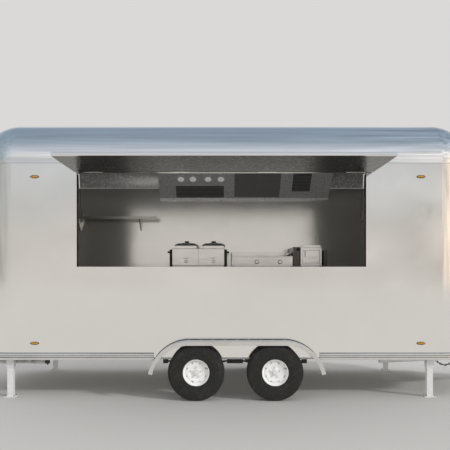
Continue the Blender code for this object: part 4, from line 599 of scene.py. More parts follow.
LID = grained_metal("lid_dark", "kitchen_steel", (0.30, 0.295, 0.29), (0.05, 1.0, 1.0), 0.26, 0.40, 0.08)
HOTPLATE = grained_metal("hotplate", "kitchen_steel", (0.22, 0.215, 0.21), (0.1, 1.0, 1.0), 0.30, 0.5, 0.12)
DARKPANEL = grained_metal(
    "dark_panel", "kitchen_steel", (0.16, 0.145, 0.13), (1.0, 1.0, 0.05), 0.25, 0.4, 0.06
)
HOODSTEEL = painted(
    "hood_steel", "kitchen_steel", (0.93, 0.93, 0.93), (0.85, 0.85, 0.85), 0.24, 0.34, 0.15, 0.0
)
FILTER = painted("hood_filter", "kitchen_steel", (0.42, 0.42, 0.42), (0.36, 0.36, 0.36), 0.26, 0.36, 0.3, 0.0)


def dress(node, look, bevel=EDGE, segments=2):
    """Gives a CAD node its finish and softened edges."""
    piece = frame["nodes"][node]
    piece.data.materials.clear()
    piece.data.materials.append(look)
    soften(piece, bevel, segments)


# Shell
def roof_rings(half_x, half_y, radius, foot):
    rings = []
    for step in range(FINE_ARC + 1):
        angle = math.pi / 2 * step / FINE_ARC
        left = max(radius * math.cos(angle), 1e-5)
        inset = radius - left
        height = EAVES_Z + radius * math.sin(angle) + (foot if step == 0 else 0.0)
        rings.append([(x, y, height) for x, y in rounded(half_x - inset, half_y - inset, left, FINE_ARC)])
    return rings


def line_inside(piece, look):
    """Gives the faces that look into the cabin their own finish."""
    mesh = piece.data
    mesh.materials.append(look)
    for face in mesh.polygons:
        middle = face.center - BODY
        normal = face.normal
        if inside_cabin(middle + normal * 0.02):
            face.material_index = 1


def inside_cabin(place):
    reach = 0.012
    left = max(0.0, abs(place.x) - FLAT_X) ** 2 + max(0.0, abs(place.y) - FLAT_Y) ** 2
    left += max(0.0, place.z - EAVES_Z) ** 2
    return math.sqrt(left) < INNER_RADIUS - reach


def build_roof():
    outer = roof_rings(HALF_LENGTH, HALF_WIDTH, CORNER_RADIUS, SEAM)
    inner = roof_rings(INNER_X, INNER_Y, INNER_RADIUS, SEAM)
    shape = loft(list(reversed(inner)) + outer)
    line_inside(add("roof_shell", shape, SHELL, "trailer", ["roof"]), CEILING)


def end_plan(side):
    outer = arc((FLAT_X, FLAT_Y), CORNER_RADIUS, math.pi / 2, 0.0, FINE_ARC)
    inner = arc((FLAT_X, FLAT_Y), INNER_RADIUS, math.pi / 2, 0.0, FINE_ARC)
    outer[0] = (FLAT_X + SEAM, HALF_WIDTH)
    inner[0] = (FLAT_X + SEAM, INNER_Y)
    outer += [(x, -y) for x, y in reversed(outer)]
    inner += [(x, -y) for x, y in reversed(inner)]
    return [(side * x, y) for x, y in outer + list(reversed(inner))]


def build_walls():
    top = EAVES_Z - SEAM
    front = add("front_end_shell", prism(end_plan(1), 2, WALL_BOTTOM_Z, top), SHELL, "trailer", ["front_end"])
    doorway = box(
        -HALF_LENGTH - 0.02, -INNER_X + 0.02, DOOR_LOW.y - DOOR_GAP, DOOR_HALF + DOOR_GAP,
        DOOR_LOW.z - DOOR_GAP, DOOR_HIGH.z + DOOR_GAP,
    )
    shape = cut_out([prism(end_plan(-1), 2, WALL_BOTTOM_Z, top)], [doorway])
    rear = add("rear_end_shell", shape, SHELL, "trailer", ["rear_end"])
    shape = box(-FLAT_X, FLAT_X, INNER_Y, HALF_WIDTH, WALL_BOTTOM_Z, top)
    far = add("far_wall_panel", shape, SHELL, "trailer", ["far_wall"])
    shape = box(-FLAT_X, FLAT_X, -HALF_WIDTH, -INNER_Y, WALL_BOTTOM_Z, top)
    window = box(WINDOW[0], WINDOW[1], -HALF_WIDTH - 0.02, -INNER_Y + 0.02, WINDOW[2], WINDOW[3])
    near = add("serving_wall_panel", cut_out([shape], [window]), SHELL, "trailer", ["serving_wall"])
    line_inside(front, DULL)
    line_inside(rear, DULL)
    line_inside(far, LINING)
    line_inside(near, DULL)


def build_seams():
    """Cover strips where the rounded ends meet the flat sides."""
    strips = []
    for side_y in (-1, 1):
        for side_x in (-1, 1):
            x = side_x * FLAT_X
            y = side_y * (HALF_WIDTH + 0.0012)
            strips.append(box(x - 0.006, x + 0.006, min(y, y - side_y * 0.003), max(y, y - side_y * 0.003),
                              WALL_BOTTOM_Z + 0.05, EAVES_Z))
    add("wall_cover_strips", strips, SHELL, "trailer")


def build_markers():
    """Amber marker lamps: a black base and an oval lens."""
    bases = []
    lenses = []
    for side in (-1, 1):
        skin = side * HALF_WIDTH
        for x in MARKERS_X:
            for z in MARKERS_Z:
                low = min(skin, skin + side * 0.0045)
                high = max(skin, skin + side * 0.0045)
                bases.append(prism(oval((x, z), 0.045, 0.016, 32), 1, low, high))
                lenses.append(dome_lens(x, z, skin + side * 0.0045, side, 0.0385, 0.0115, 0.0064))
    add("marker_bases", bases, BLACK, "trailer", bevel=0.0008)
    add("marker_lenses", lenses, AMBER, "trailer")


def dome_lens(x, z, skin, side, half_x, half_z, height):
    rings = []
    steps = 6
    for step in range(steps + 1):
        angle = math.pi / 2 * step / steps
        share = max(math.cos(angle), 0.02)
        y = skin + side * height * math.sin(angle)
        rings.append([(px, y, pz) for px, pz in oval((x, z), half_x * share, half_z * share, 28)])
    return loft(rings)


# Window, flap and struts
def build_window_trim():
    """A thin turned frame round the opening and the rubber it closes on."""
    rear, front, sill, head = WINDOW
    skin = -HALF_WIDTH
    depth = 0.004
    width = 0.012
    frame_strips = [
        box(rear - width, rear, skin - 0.002, skin + depth, sill - width, head),
        box(front, front + width, skin - 0.002, skin + depth, sill - width, head),
        box(rear, front, skin - 0.002, skin + depth, sill - width, sill),
    ]
    add("window_trim", frame_strips, SHELL, "trailer", bevel=0.001)
    inner = 0.006
    seals = [
        box(rear, rear + inner, -INNER_Y - 0.02, -INNER_Y, sill, head),
        box(front - inner, front, -INNER_Y - 0.02, -INNER_Y, sill, head),
    ]
    add("window_seal", seals, SEAL, "trailer", bevel=0.001)


def build_flap():
    low, high = local_box("serving_flap")
    under = FLAP_UNDER_Z
    top = under + 0.035
    outer = low.y
    inner = -HALF_WIDTH - 0.031
    radius = 0.012
    edge = arc((outer + radius, top - radius), radius, math.pi / 2, math.pi, 8)
    skin = [(inner, under + 0.004), (inner, top), *edge, (outer, under + 0.001), (outer + 0.004, under)]
    skin += [(outer + 0.022, under), (outer + 0.022, under + 0.004)]
    shell = prism(skin, 0, low.x, high.x)
    hinges = []
    pivot = FLAP_PIVOT
    for place in flap_hinges(low.x, high.x):
        start = place - FLAP_KNUCKLE_HALF
        end = place + FLAP_KNUCKLE_HALF
        hinges.append(prism(circle(pivot, FLAP_KNUCKLE, 20), 0, start, end))
        hinges.append(box(start, end, inner - 0.006, pivot[0], pivot[1] - FLAP_KNUCKLE, pivot[1]))
    plates = []
    for x, side in STRUT_PLACES:
        near = x + side * 0.008
        far = near + side * 0.004
        middle = pivot[0] - STRUT_EYE_REACH
        plates.append(
            box(
                min(near, far), max(near, far), middle - 0.014, middle + 0.014, pivot[1] - STRUT_EYE_BELOW,
                under + 0.006
            )
        )
    add("flap_skin", [shell], SHELL, "flap", ["serving_flap"], bevel=0.0008)
    add("flap_hinges", hinges + plates, SHELL, "flap", bevel=0.0006)
    # The underside panel and its edge rails take the near-black tint, which is painted reflection of the
    # shaded cabin.
    panel = box(low.x + 0.022, high.x - 0.022, outer + 0.022, inner, under + 0.0005, under + 0.0042)
    add("flap_under_panel", panel, UNDERSIDE_PAINTED_REFLECTION, "flap")
    rails = [
        box(low.x, low.x + 0.022, outer + 0.0221, inner, under, under + 0.004),
        box(high.x - 0.022, high.x, outer + 0.0221, inner, under, under + 0.004),
    ]
    add("flap_edge_rails", rails, UNDERSIDE_PAINTED_REFLECTION, "flap", bevel=0.0006)


def flap_hinges(low, high):
    length = high - low
    first = low + 0.06 * length
    pitch = 0.88 * length / 3
    return [first + number * pitch for number in range(4)]


def build_flap_tubes():
    """Fixed hinge knuckles on the wall, with their leaves."""
    low, high = local_box("serving_flap")
    pivot = FLAP_PIVOT
    shapes = []
    for place in flap_hinges(low.x, high.x):
        for start, end in ((place - 0.091, place - 0.046), (place + 0.046, place + 0.091)):
            shapes.append(prism(circle(pivot, FLAP_KNUCKLE, 20), 0, start, end))
            shapes.append(box(start, end, pivot[0], -HALF_WIDTH + 0.003, pivot[1], pivot[1] + FLAP_KNUCKLE))
    add("flap_knuckles", shapes, SHELL, "trailer", bevel=0.0006)


# Wheels
def build_wheel(name, side):
    low, high = local_box(f"tyre_{name}")
    middle = (low + high) / 2
    radius = (high.z - low.z) / 2
    half = (high.y - low.y) / 2
    height = radius - RIM_RADIUS
    shares = [
        (0.0, 0.83), (0.025, 0.885), (0.07, 0.915), (0.16, 0.955), (0.30, 0.99), (0.42, 1.0), (0.55, 0.993),
        (0.68, 0.965), (0.78, 0.925), (0.80, 0.912), (0.81, 0.918), (0.87, 0.88), (0.93, 0.815), (
            0.968, 0.74
        ),
        (0.985, 0.66),
    ]
    outer = [(RIM_RADIUS + up * height, out * half) for up, out in shares]
    tread = []
    for edge, depth in ((0.60, 0.0), (0.56, 0.0), (0.555, 1.0), (0.50, 1.0), (0.495, 0.0), (0.215, 0.0),
                        (0.21, 1.0), (0.155, 1.0), (0.15, 0.0)):
        tread.append((radius - 0.0065 * depth, edge * half))
    line = outer + tread
    profile = line + [(r, -along) for r, along in reversed(line)]
    tyre = lathe(profile, 1, middle, 96, ring=True)
    add(f"tyre_{name}_tread", tyre, TYRE, f"wheel_{name}", [f"tyre_{name}"], smooth=40)
    face = side * 0.030
    lip = side * 0.071
    disc = [
        (0.0, face + side * 0.004), (0.026, face + side * 0.004), (0.034, face), (0.060, face),
        (0.066, face + side * 0.003), (0.088, face + side * 0.008), (0.098, face + side * 0.007),
        (0.108, face + side * 0.000), (0.116, face + side * 0.004), (0.1185, face + side * 0.018),
        (0.1205, lip - side * 0.010), (0.1245, lip - side * 0.003), (0.1280, lip), (
            0.1303, lip - side * 0.003
        ),
        (0.1303, -lip + side * 0.003), (0.1280, -lip), (0.1225, -lip + side * 0.004), (
            0.1205, face - side * 0.030
        ),
        (0.088, face - side * 0.022), (0.086, -side * 0.068), (0.0215, -side * 0.068), (0.0215, side * 0.004),
        (0.0, side * 0.004),
    ]
    base = lathe(disc, 1, middle, 72)
    holes = []
    for number in range(RIM_HOLES):
        angle = math.tau * (number + 0.5) / RIM_HOLES
        x = middle.x + RIM_HOLE_CIRCLE * math.cos(angle)
        z = middle.z + RIM_HOLE_CIRCLE * math.sin(angle)
        low_y, high_y = sorted((middle.y + face - side * 0.018, middle.y + face + side * 0.03))
        holes.append(prism(circle((x, z), 0.0085, 16), 1, low_y, high_y))
    wheel = cut_out([base], holes)
    add(f"rim_{name}_disc", wheel, RIM, f"wheel_{name}", [f"rim_{name}"], bevel=0.0006)
    fittings = []
    for number in range(STUDS):
        angle = math.tau * number / STUDS + math.pi / 2
        x = middle.x + STUD_CIRCLE * math.cos(angle)
        z = middle.z + STUD_CIRCLE * math.sin(angle)
        fittings += bolt((x, middle.y + face, z), 1, 0.0085, 0.014, side)
        fittings.append(
            bar((x, middle.y + face + side * 0.012, z), (x, middle.y + face + side * 0.019, z), 0.0045)
        )
    cap = [(0.0, 0.0218), (0.018, 0.0212), (0.0255, 0.018), (0.0285, 0.010), (0.0295, 0.0), (0.0, 0.0)]
    dust = lathe([(r, side * y) for r, y in cap], 1, middle + Vector((0, face, 0)), 40)
    fittings.append(dust)
    add(f"rim_{name}_studs", fittings, ZINC, f"wheel_{name}", bevel=0.0004)
    valve_x = middle.x + 0.112 * math.cos(0.35)
    valve_z = middle.z + 0.112 * math.sin(0.35)
    start = (valve_x, middle.y + face, valve_z)
    end = (valve_x, middle.y + face + side * 0.028, valve_z)
    add(f"rim_{name}_valve", bar(start, end, 0.004, 12, 0.003), SEAL, f"wheel_{name}")
    weight = 0.1215
    clips = []
    for angle in (2.2, 2.32):
        x = middle.x + weight * math.cos(angle)
        z = middle.z + weight * math.sin(angle)
        clip = box(-0.004, 0.004, -0.002, 0.002, -0.010, 0.010)
        turn = Matrix.Rotation(-angle, 4, "Y")
        shift = Matrix.Translation(Vector((x, middle.y + lip - side * 0.010, z)))
        bmesh.ops.transform(clip, matrix=shift @ turn, verts=clip.verts)
        clips.append(clip)
    add(f"rim_{name}_weights", clips, ZINC, f"wheel_{name}")


# Fenders and skirts
def fender_line(radius):
    start = math.radians(12)
    centre_z = FENDER_TOP - FENDER_RADIUS
    front = arc((FENDER_FRONT_X, centre_z), radius, start, math.pi / 2, 28)
    rear = arc((FENDER_REAR_X, centre_z), radius, math.pi / 2, math.pi - start, 28)
    return front + rear


def band(outer, inner):
    return fender_line(outer) + list(reversed(fender_line(inner)))


def build_fenders():
    for name, side in (("near", -1), ("far", 1)):
        wall = HALF_WIDTH + 0.0003
        outer = HALF_WIDTH + FENDER_REACH
        radius = FENDER_RADIUS
        shapes = [
            prism(band(radius, radius - 0.006), 1, wall, outer - 0.002),
            prism(band(radius - 0.001, radius - 0.040), 1, outer - 0.006, outer),
            prism(band(radius + 0.0002, radius - 0.004), 1, outer - 0.007, outer - 0.0008),
            prism(band(radius - 0.036, radius - 0.041), 1, outer - 0.009, outer - 0.0005),
        ]
        if side < 0:
            shapes = [mirrored(shape, 1) for shape in shapes]
        add(f"fender_{name}_sheet", shapes, ALUMINIUM, "trailer", [f"fender_{name}"], bevel=0.0008)
        seal = prism(band(radius + 0.006, radius), 1, wall, wall + 0.010)
        if side < 0:
            seal = mirrored(seal, 1)
        add(f"fender_{name}_seal", seal, SEAL, "trailer", bevel=0.001)
        screws = []
        for number in range(9):
            x = FENDER_REAR_X + (FENDER_FRONT_X - FENDER_REAR_X) * number / 8
            screws += bolt((x, side * (wall + 0.02), FENDER_TOP), 2, 0.005, 0.003)
        add(f"fender_{name}_screws", screws, ZINC, "trailer")


def skirt_line(side, start_x, offset):
    radius = CORNER_RADIUS + offset
    corner = arc((FLAT_X, FLAT_Y), radius, math.pi / 2, 0.0, FINE_ARC)
    half = [(start_x, HALF_WIDTH + offset)] + [(side * x, y) for x, y in corner]
    return half + [(x, -y) for x, y in reversed(half)]


SKIRT_SHAPE_SHARES = [
    (0.0, 0.0), (0.60, 0.0), (0.74, 0.03), (0.86, 0.055), (0.97, 0.09), (1.0, 0.14), (1.0, 0.30), (
        0.95, 0.345
    ),
    (0.45, 0.40), (0.38, 0.44), (0.38, 0.56), (0.45, 0.60), (0.95, 0.655), (1.0, 0.70), (1.0, 0.86), (
        0.95, 0.91
    ),
    (0.70, 0.955), (0.60, 1.0), (0.0, 1.0),
]


def build_skirts():
    for name, side in (("skirt_rail_front", 1), ("skirt_rail_rear", -1)):
        low, high = local_box(name)
        start_x = low.x if side > 0 else high.x
        depth = 0.018
        base = 0.0003
        lines = []
        for out, up in SKIRT_SHAPE_SHARES:
            z = low.z + up * (high.z - low.z)
            lines.append([(x, y, z) for x, y in skirt_line(side, start_x, base + out * (depth - base))])
        rings = [[line[index] for line in lines] for index in range(len(lines[0]))]
        add(f"{name}_strip", loft(rings), ALUMINIUM, "trailer", [name], smooth=30)
        grooves = []
        for up in (0.37, 0.63):
            z = low.z + up * (high.z - low.z)
            route = [(x, y, z) for x, y in skirt_line(side, start_x + side * 0.001, depth * 0.62)]
            grooves.append(tube_along(route, 0.0032, 6))
        z = high.z - 0.002
        route = [(x, y, z) for x, y in skirt_line(side, start_x + side * 0.001, 0.0052)]
        grooves.append(tube_along(route, 0.0042, 6))
        add(f"{name}_rubber", grooves, SEAL, "trailer")


# Fittings on the bench
def build_fryer():
    low, high = local_box("fryer")
    side_bar = 0.030
    front = low.y
    left = FRYER_LOW_X
    right = FRYER_HIGH_X
    top = FRYER_TOP
    body = [
        box(left + 0.002, right - 0.002, front + 0.002, high.y, low.z + 0.020, top - 0.004),
        box(left, right, front, high.y - 0.002, top - 0.008, top),
        box(left + 0.012, right - 0.012, front + 0.010, high.y - 0.010, low.z, low.z + 0.022),
    ]
    rims = []
    for x in LIDS_X:
        inset = 0.014
        rims.append(
            box(x + inset, x + LID_LENGTH - inset, LID_Y + inset, LID_Y + 0.346, top - 0.004, top + 0.0355)
        )
    add("fryer_body", body + rims, SATIN, "trailer", ["fryer"], 0.003, 3)
    gaps = [box(left + 0.006, right - 0.006, front - 0.0004, front + 0.004, low.z + 0.0205, low.z + 0.0245)]
    middle = (left + right) / 2
    gaps.append(
        box(middle - 0.0012, middle + 0.0012, front - 0.0004, front + 0.004, low.z + 0.024, top - 0.010)
    )
    add("fryer_seams", gaps, BLACK, "trailer")
    ends = []
    for edge, side in ((left, -1), (right, 1)):
        near, far = sorted((edge - side * 0.003, edge + side * side_bar))
        ends.append(box(near, far, front + 0.012, high.y - 0.012, low.z + 0.012, top - 0.012))
        near, far = sorted((edge + side * side_bar * 0.9, edge + side * (side_bar + 0.0275)))
        grip_z = low.z + 0.188
        for depth in (0.045, 0.115):
            ends.append(bar((near, front + depth, grip_z), (far, front + depth, grip_z), 0.011, 16))
    add("fryer_end_bars", ends, BLACK, "trailer", bevel=0.003)
    dials = []
    marks = []
    for lid_x in LIDS_X:
        x = lid_x + LID_LENGTH / 2
        dials += dial((x, front, low.z + 0.075), 0.018, 0.009)
        dials.append(lathe([(0, 0.0), (0.005, 0.0), (0.005, -0.006), (0.0, -0.007)], 1,
                           Vector((x + 0.062, front, low.z + 0.075)), 16))
        marks.append(box(x - 0.034, x + 0.034, front - 0.0006, front + 0.001, low.z + 0.112, low.z + 0.118))
    add("fryer_dials", dials, SATIN, "trailer", bevel=0.0008)
    add("fryer_plates", marks, ZINC, "trailer", bevel=0.0003)


def dial(centre, radius, height):
    """A turned control dial on a front panel, facing -Y."""
    profile = [
        (0.0, -height), (radius * 0.82, -height), (radius * 0.9, -height * 0.86), (radius, -height * 0.2),
        (radius * 1.12, 0.0), (0.0, 0.0015),
    ]
    grip = box(-radius * 0.14, radius * 0.14, -height * 1.12, -height * 0.4, -radius * 0.8, radius * 0.8)
    return [lathe(profile, 1, Vector(centre), 28), moved(grip, Vector(centre))]


def build_lids():
    for name, x in (("fryer_lid_rear", LIDS_X[0]), ("fryer_lid_front", LIDS_X[1])):
        low, high = local_box(name)
        base = low.z
        half_x = LID_LENGTH / 2
        half_y = (high.y - low.y) / 2
        centre = (x + half_x, (low.y + high.y) / 2)
        rings = []
        steps = ((0.0, 0.0), (0.0, 0.006), (0.002, 0.0085), (0.014, 0.0165), (0.030, 0.0235), (0.042, 0.0285))
        for inset, height in steps:
            rings.append(
                [(px, py, base + height) for px, py in
                 rounded(half_x - inset, half_y - inset, 0.016, 5, centre)]
            )
        add(f"{name}_cover", loft(rings), LID, "trailer", [name], bevel=0.0)
        lift = high.z - base
        knob = [
            (0.0, 0.0245), (0.011, 0.0245), (0.011, 0.037), (0.022, 0.042), (0.029, 0.049), (0.0295, 0.055),
            (0.026, lift - 0.001), (0.0, lift - 0.0005),
        ]
        grip = lathe(knob, 2, Vector((centre[0], centre[1], base)), 32)
        add(f"{name}_grip", grip, BLACK, "trailer")
        wire = [
            (centre[0] - 0.05, low.y + 0.02, base + 0.020), (centre[0] - 0.05, low.y + 0.012, base + 0.030),
            (centre[0] + 0.05, low.y + 0.012, base + 0.030), (centre[0] + 0.05, low.y + 0.02, base + 0.020),
        ]
        add(f"{name}_wire", tube_along(wire, 0.0035, 8), ZINC, "trailer")


def build_griddle():
    low, high = local_box("griddle")
    front = KIT_FRONT
    top = high.z - 0.055
    shapes = [
        box(low.x + 0.001, high.x - 0.001, front, high.y, low.z + 0.016, top - 0.012),
        box(low.x, high.x, front - 0.002, high.y, top - 0.014, top),
        box(low.x + 0.02, high.x - 0.02, front + 0.015, high.y - 0.015, low.z, low.z + 0.018),
        box(low.x, high.x, high.y - 0.012, high.y, top - 0.004, high.z),
    ]
    side = [
        (front + 0.125, top - 0.004), (front + 0.128, top + 0.020), (front + 0.138, top + 0.040),
        (front + 0.152, top + 0.0505), (front + 0.168, high.z), (high.y, high.z), (high.y, top - 0.004),
    ]
    for x in (low.x, high.x - 0.004):
        shapes.append(prism(side, 0, x, x + 0.004))
    add("griddle_body", shapes, SATIN, "trailer", ["griddle"], 0.002, 3)
    add("griddle_plate", box(
        low.x + 0.03, high.x - 0.03, front + 0.055, high.y - 0.03, top - 0.003, top + 0.002
    ),
        HOTPLATE, "trailer", bevel=0.001)
    add("griddle_gutter", box(
        low.x + 0.03, high.x - 0.03, front + 0.018, front + 0.048, top - 0.002, top + 0.0012
    ),
        BLACK, "trailer", bevel=0.0006)
    knobs = []
    for share in (0.41, 0.79):
        x = low.x + share * (high.x - low.x)
        knobs += dial((x, front, low.z + 0.068), 0.024, 0.022)
    add("griddle_dials", knobs, SATIN, "trailer", bevel=0.0008)
    corner = [(high.x - 0.070, top + 0.001)]
    corner += arc((high.x - 0.006, top + 0.001), 0.046, math.pi, math.pi / 2, 10)
    corner += [(high.x - 0.006, top + 0.001)]
    add("griddle_scraper", prism(corner, 1, front + 0.075, front + 0.105), HOTPLATE, "trailer", bevel=0.001)


def build_warmer():
    low, high = local_box("warmer")
    front = KIT_FRONT
    back = high.y
    post_x = low.x
    post_top = low.z + 0.249
    box_low = post_x + 0.088
    box_high = box_low + 0.260
    end_low = box_high + 0.021
    end_high = end_low + 0.040
    top = high.z
    add("warmer_cabinet", [
        box(box_low, box_high, front, back, low.z + 0.018, top - 0.030),
        box(box_low + 0.018, box_high - 0.012, front + 0.010, back - 0.010, top - 0.034, top),
        box(box_low + 0.014, box_high - 0.014, front + 0.02, back - 0.02, low.z, low.z + 0.020),
    ], SATIN, "trailer", ["warmer"], 0.003, 3)
    add("warmer_posts", [
        box(post_x, post_x + 0.082, front + 0.004, back - 0.004, low.z + 0.002, post_top),
        box(end_low, end_high, front + 0.004, back - 0.004, low.z + 0.002, low.z + 0.207),
        box(post_x + 0.02, end_high - 0.01, front + 0.03, back - 0.03, low.z, low.z + 0.029),
    ], DARKPANEL, "trailer", bevel=0.003)
    dials = dial((post_x + 0.060, front, post_top - 0.030), 0.017, 0.020)
    add("warmer_dial", dials, BLACK, "trailer", bevel=0.0008)
    trims = [
        box(box_low + 0.028, box_high - 0.028, front - 0.002, front + 0.001, low.z + 0.050, low.z + 0.054),
        box(box_low + 0.028, box_high - 0.028, front - 0.002, front + 0.001, top - 0.070, top - 0.066),
        box(box_low + 0.026, box_low + 0.030, front - 0.002, front + 0.001, low.z + 0.050, top - 0.066),
        box(box_high - 0.030, box_high - 0.026, front - 0.002, front + 0.001, low.z + 0.050, top - 0.066),
    ]
    add("warmer_door_seam", trims, ZINC, "trailer")
    grips = []
    for z in (low.z + 0.14, low.z + 0.19):
        grips.append(bar((box_low + 0.055, front - 0.010, z), (box_low + 0.055, front + 0.002, z), 0.003, 10))
    grip_x = box_low + 0.055
    grips.append(
        bar((grip_x, front - 0.010, low.z + 0.130), (grip_x, front - 0.010, low.z + 0.200), 0.004, 12)
    )
    add("warmer_grip", grips, ZINC, "trailer")
    slots = []
    for number in range(5):
        z = low.z + 0.050 + number * 0.028
        slots.append(box(end_low - 0.0006, end_high + 0.0006, front + 0.06, back - 0.06, z, z + 0.006))
    add("warmer_slots", slots, BLACK, "trailer")


def build_hood():
    """Sheet canopy with three filter panels and four round lamps on its sloping face."""
    low, high = local_box("hood")
    back = INNER_Y
    radius = INNER_RADIUS - 0.0003
    cove = arc((FLAT_Y, EAVES_Z), radius, 0.0, math.pi / 2, 16)
    top = EAVES_Z + radius
    outline = [(back - 0.0003, low.z), *cove, (low.y, top), (low.y, top - 0.012)]
    outline += [(back - 0.050, low.z + 0.030), (back - 0.048, low.z + 0.003), (back - 0.044, low.z)]
    add("hood_canopy", prism(outline, 0, low.x, high.x), HOODSTEEL, "trailer", ["hood"], 0.0015, 2)
    start = Vector((0.0, back - 0.050, low.z + 0.030))
    end = Vector((0.0, low.y, top - 0.012))
    along = (end - start).normalized()
    out = Vector((0.0, -along.z, along.y))
    if out.z > 0:
        out = -out
    for name, left, right, share, top_share, rows, look in (
        ("rear", 0.205, 0.825, 0.015, 0.225, 8, BLACK),
        ("middle", 0.947, 1.538, 0.020, 0.480, 17, FILTER),
        ("front", 1.677, 1.916, 0.130, 0.480, 13, BLACK),
    ):
        left += low.x
        right += low.x
        panel = [slab(left, right, start + along * share, start + along * top_share, out, 0.0012)]
        add(f"hood_filter_{name}", panel, look, "trailer")
        pitch = (top_share - share - 0.012) / rows
        blades = []
        for row in range(rows):
            low_share = share + 0.010 + row * pitch
            blades.append(
                slab(left + 0.010, right - 0.010, start + along * low_share,
                     start + along * (low_share + pitch * 0.5), out, 0.0030)
            )
        add(f"hood_blades_{name}", blades, FILTER, "trailer")
        frames = [
            slab(left - 0.004, left + 0.006, start + along * share, start + along * top_share, out, 0.0036),
            slab(right - 0.006, right + 0.004, start + along * share, start + along * top_share, out, 0.0036),
        ]
        add(f"hood_frame_{name}", frames, HOODSTEEL, "trailer")
    lamps = []
    rings = []
    for reach in (0.284, 0.434, 0.621, 0.784):
        centre = start + along * 0.350
        centre.x = low.x + reach
        rings.append(bar(centre - out * 0.004, centre + out * 0.0035, 0.056, 32))
        lamps.append(bar(centre, centre + out * 0.0050, 0.048, 32, 0.040))
    add("hood_lamp_rings", rings, HOODSTEEL, "trailer", bevel=0.001)
    add("hood_lamps", lamps, FROST, "trailer")


def slab(low_x, high_x, start, end, out, height):
    """A thin strip standing off a sloping face."""
    shape = bmesh.new()
    corners = []
    for x in (low_x, high_x):
        for base in (start, end):
            for lift in (-0.0005, height):
                place = base + out * lift
                corners.append(shape.verts.new((x, place.y, place.z)))
    faces = ((0, 1, 3, 2), (4, 6, 7, 5), (0, 4, 5, 1), (2, 3, 7, 6), (0, 2, 6, 4), (1, 5, 7, 3))
    for face in faces:
        shape.faces.new([corners[index] for index in face])
    return closed(shape)


# Legs, springs and drawbar
def build_leg_details():
    for name in LEGS:
        low, high = local_box(name)
        x = (low.x + high.x) / 2
        y = (low.y + high.y) / 2
        heads = []
        for side_x in (-1, 1):
            for side_y in (-1, 1):
                place = (x + side_x * FOOT_BOLT_REACH, y + side_y * FOOT_BOLT_REACH, LEG_FOOT_TOP)
                heads += bolt(place, 2, 0.0055, 0.006)
        add(f"{name}_foot_bolts", heads, IRON, name)
        welds = []
        for side in (-1, 1):
            edge_x = x + side * LEG_HALF
            edge_y = y + side * LEG_HALF
            for start, end in (((x - LEG_HALF, edge_y), (x + LEG_HALF, edge_y)),
                               ((edge_x, y - LEG_HALF), (edge_x, y + LEG_HALF))):
                welds.append(bar((*start, LEG_FOOT_TOP), (*end, LEG_FOOT_TOP), 0.004, 8))
        add(f"{name}_welds", welds, ZINC, name)


def build_axle_clamps():
    for side in ("near", "far"):
        low, high = local_box(f"springs_{side}")
        y = (low.y + high.y) / 2
        plates = []
        hoops = []
        nuts = []
        for axle in ("axle_rear", "axle_front"):
            base, crown = local_box(axle)
            x = (base.x + crown.x) / 2
            z = (base.z + crown.z) / 2
            top = crown.z + 0.022
            plates.append(box(x - 0.048, x + 0.048, y - 0.046, y + 0.046, top, top + 0.007))
            for step in (-AXLE_HOOP, AXLE_HOOP):
                under = arc((x, z), AXLE_HOOP, math.pi, math.tau, 10)
                path = [(x - AXLE_HOOP, y + step, top + 0.018)]
                path += [(place_x, y + step, place_z) for place_x, place_z in under]
                path += [(x + AXLE_HOOP, y + step, top + 0.018)]
                hoops.append(tube_along(path, 0.005, 8))
                for reach in (-AXLE_HOOP, AXLE_HOOP):
                    nuts += bolt((x + reach, y + step, top + 0.007), 2, 0.0085, 0.009)
        add(f"spring_plates_{side}", plates, IRON, "trailer", bevel=0.001)
        add(f"spring_hoops_{side}", hoops, ZINC, "trailer")
        add(f"spring_nuts_{side}", nuts, ZINC, "trailer")


def build_chain():
    """Safety chain looped under the near drawbar, with its hook."""
    start = Vector(CHAIN_START)
    end = Vector(CHAIN_END)
    places = []
    for number in range(CHAIN_LINKS + 1):
        share = number / CHAIN_LINKS
        place = start.lerp(end, share)
        place.z -= CHAIN_SAG * share * (1.0 - share)
        places.append(place)
    links = []
    for number in range(CHAIN_LINKS):
        along = places[number + 1] - places[number]
        middle = (places[number] + places[number + 1]) / 2
        flat = along.cross(Vector((0.0, 0.0, 1.0))).normalized()
        across = flat if number % 2 else along.cross(flat).normalized()
        links.append(ring_link(middle, along, across, along.length + 0.0125, 0.0034))
    add("safety_chain", links, IRON, "trailer")
    hook = [places[4] + Vector((0.0, -0.004, 0.002))]
    for step in range(9):
        angle = math.radians(100 - step * 32)
        hook.append(places[4] + Vector((0.014 * math.cos(angle), -0.008, -0.022 + 0.014 * math.sin(angle))))
    add("safety_hook", tube_along(hook, 0.0042, 8), ZINC, "trailer")
    eyes = []
    for place in (start, end):
        eyes.append(box(place.x - 0.016, place.x + 0.016, place.y - 0.010, place.y + 0.010, 0.311, 0.3165))
    add("safety_chain_lugs", eyes, ZINC, "trailer", bevel=0.001)


def build_drawbar_details():
    heads = []
    for x in (3.46, 3.54):
        for way in (-1, 1):
            heads += bolt((x, way * 0.042, 0.400), 1, 0.008, 0.007, way)
    add("coupler_bolts", heads, ZINC, "trailer")
    studs = []
    for x in (3.262, 3.338):
        for y in (-0.145, 0.145):
            studs.append(bar((x, y, 0.364), (x, y, 0.405), 0.0075, 6))
    add("jack_studs", studs, ZINC, "trailer", bevel=0.0008)


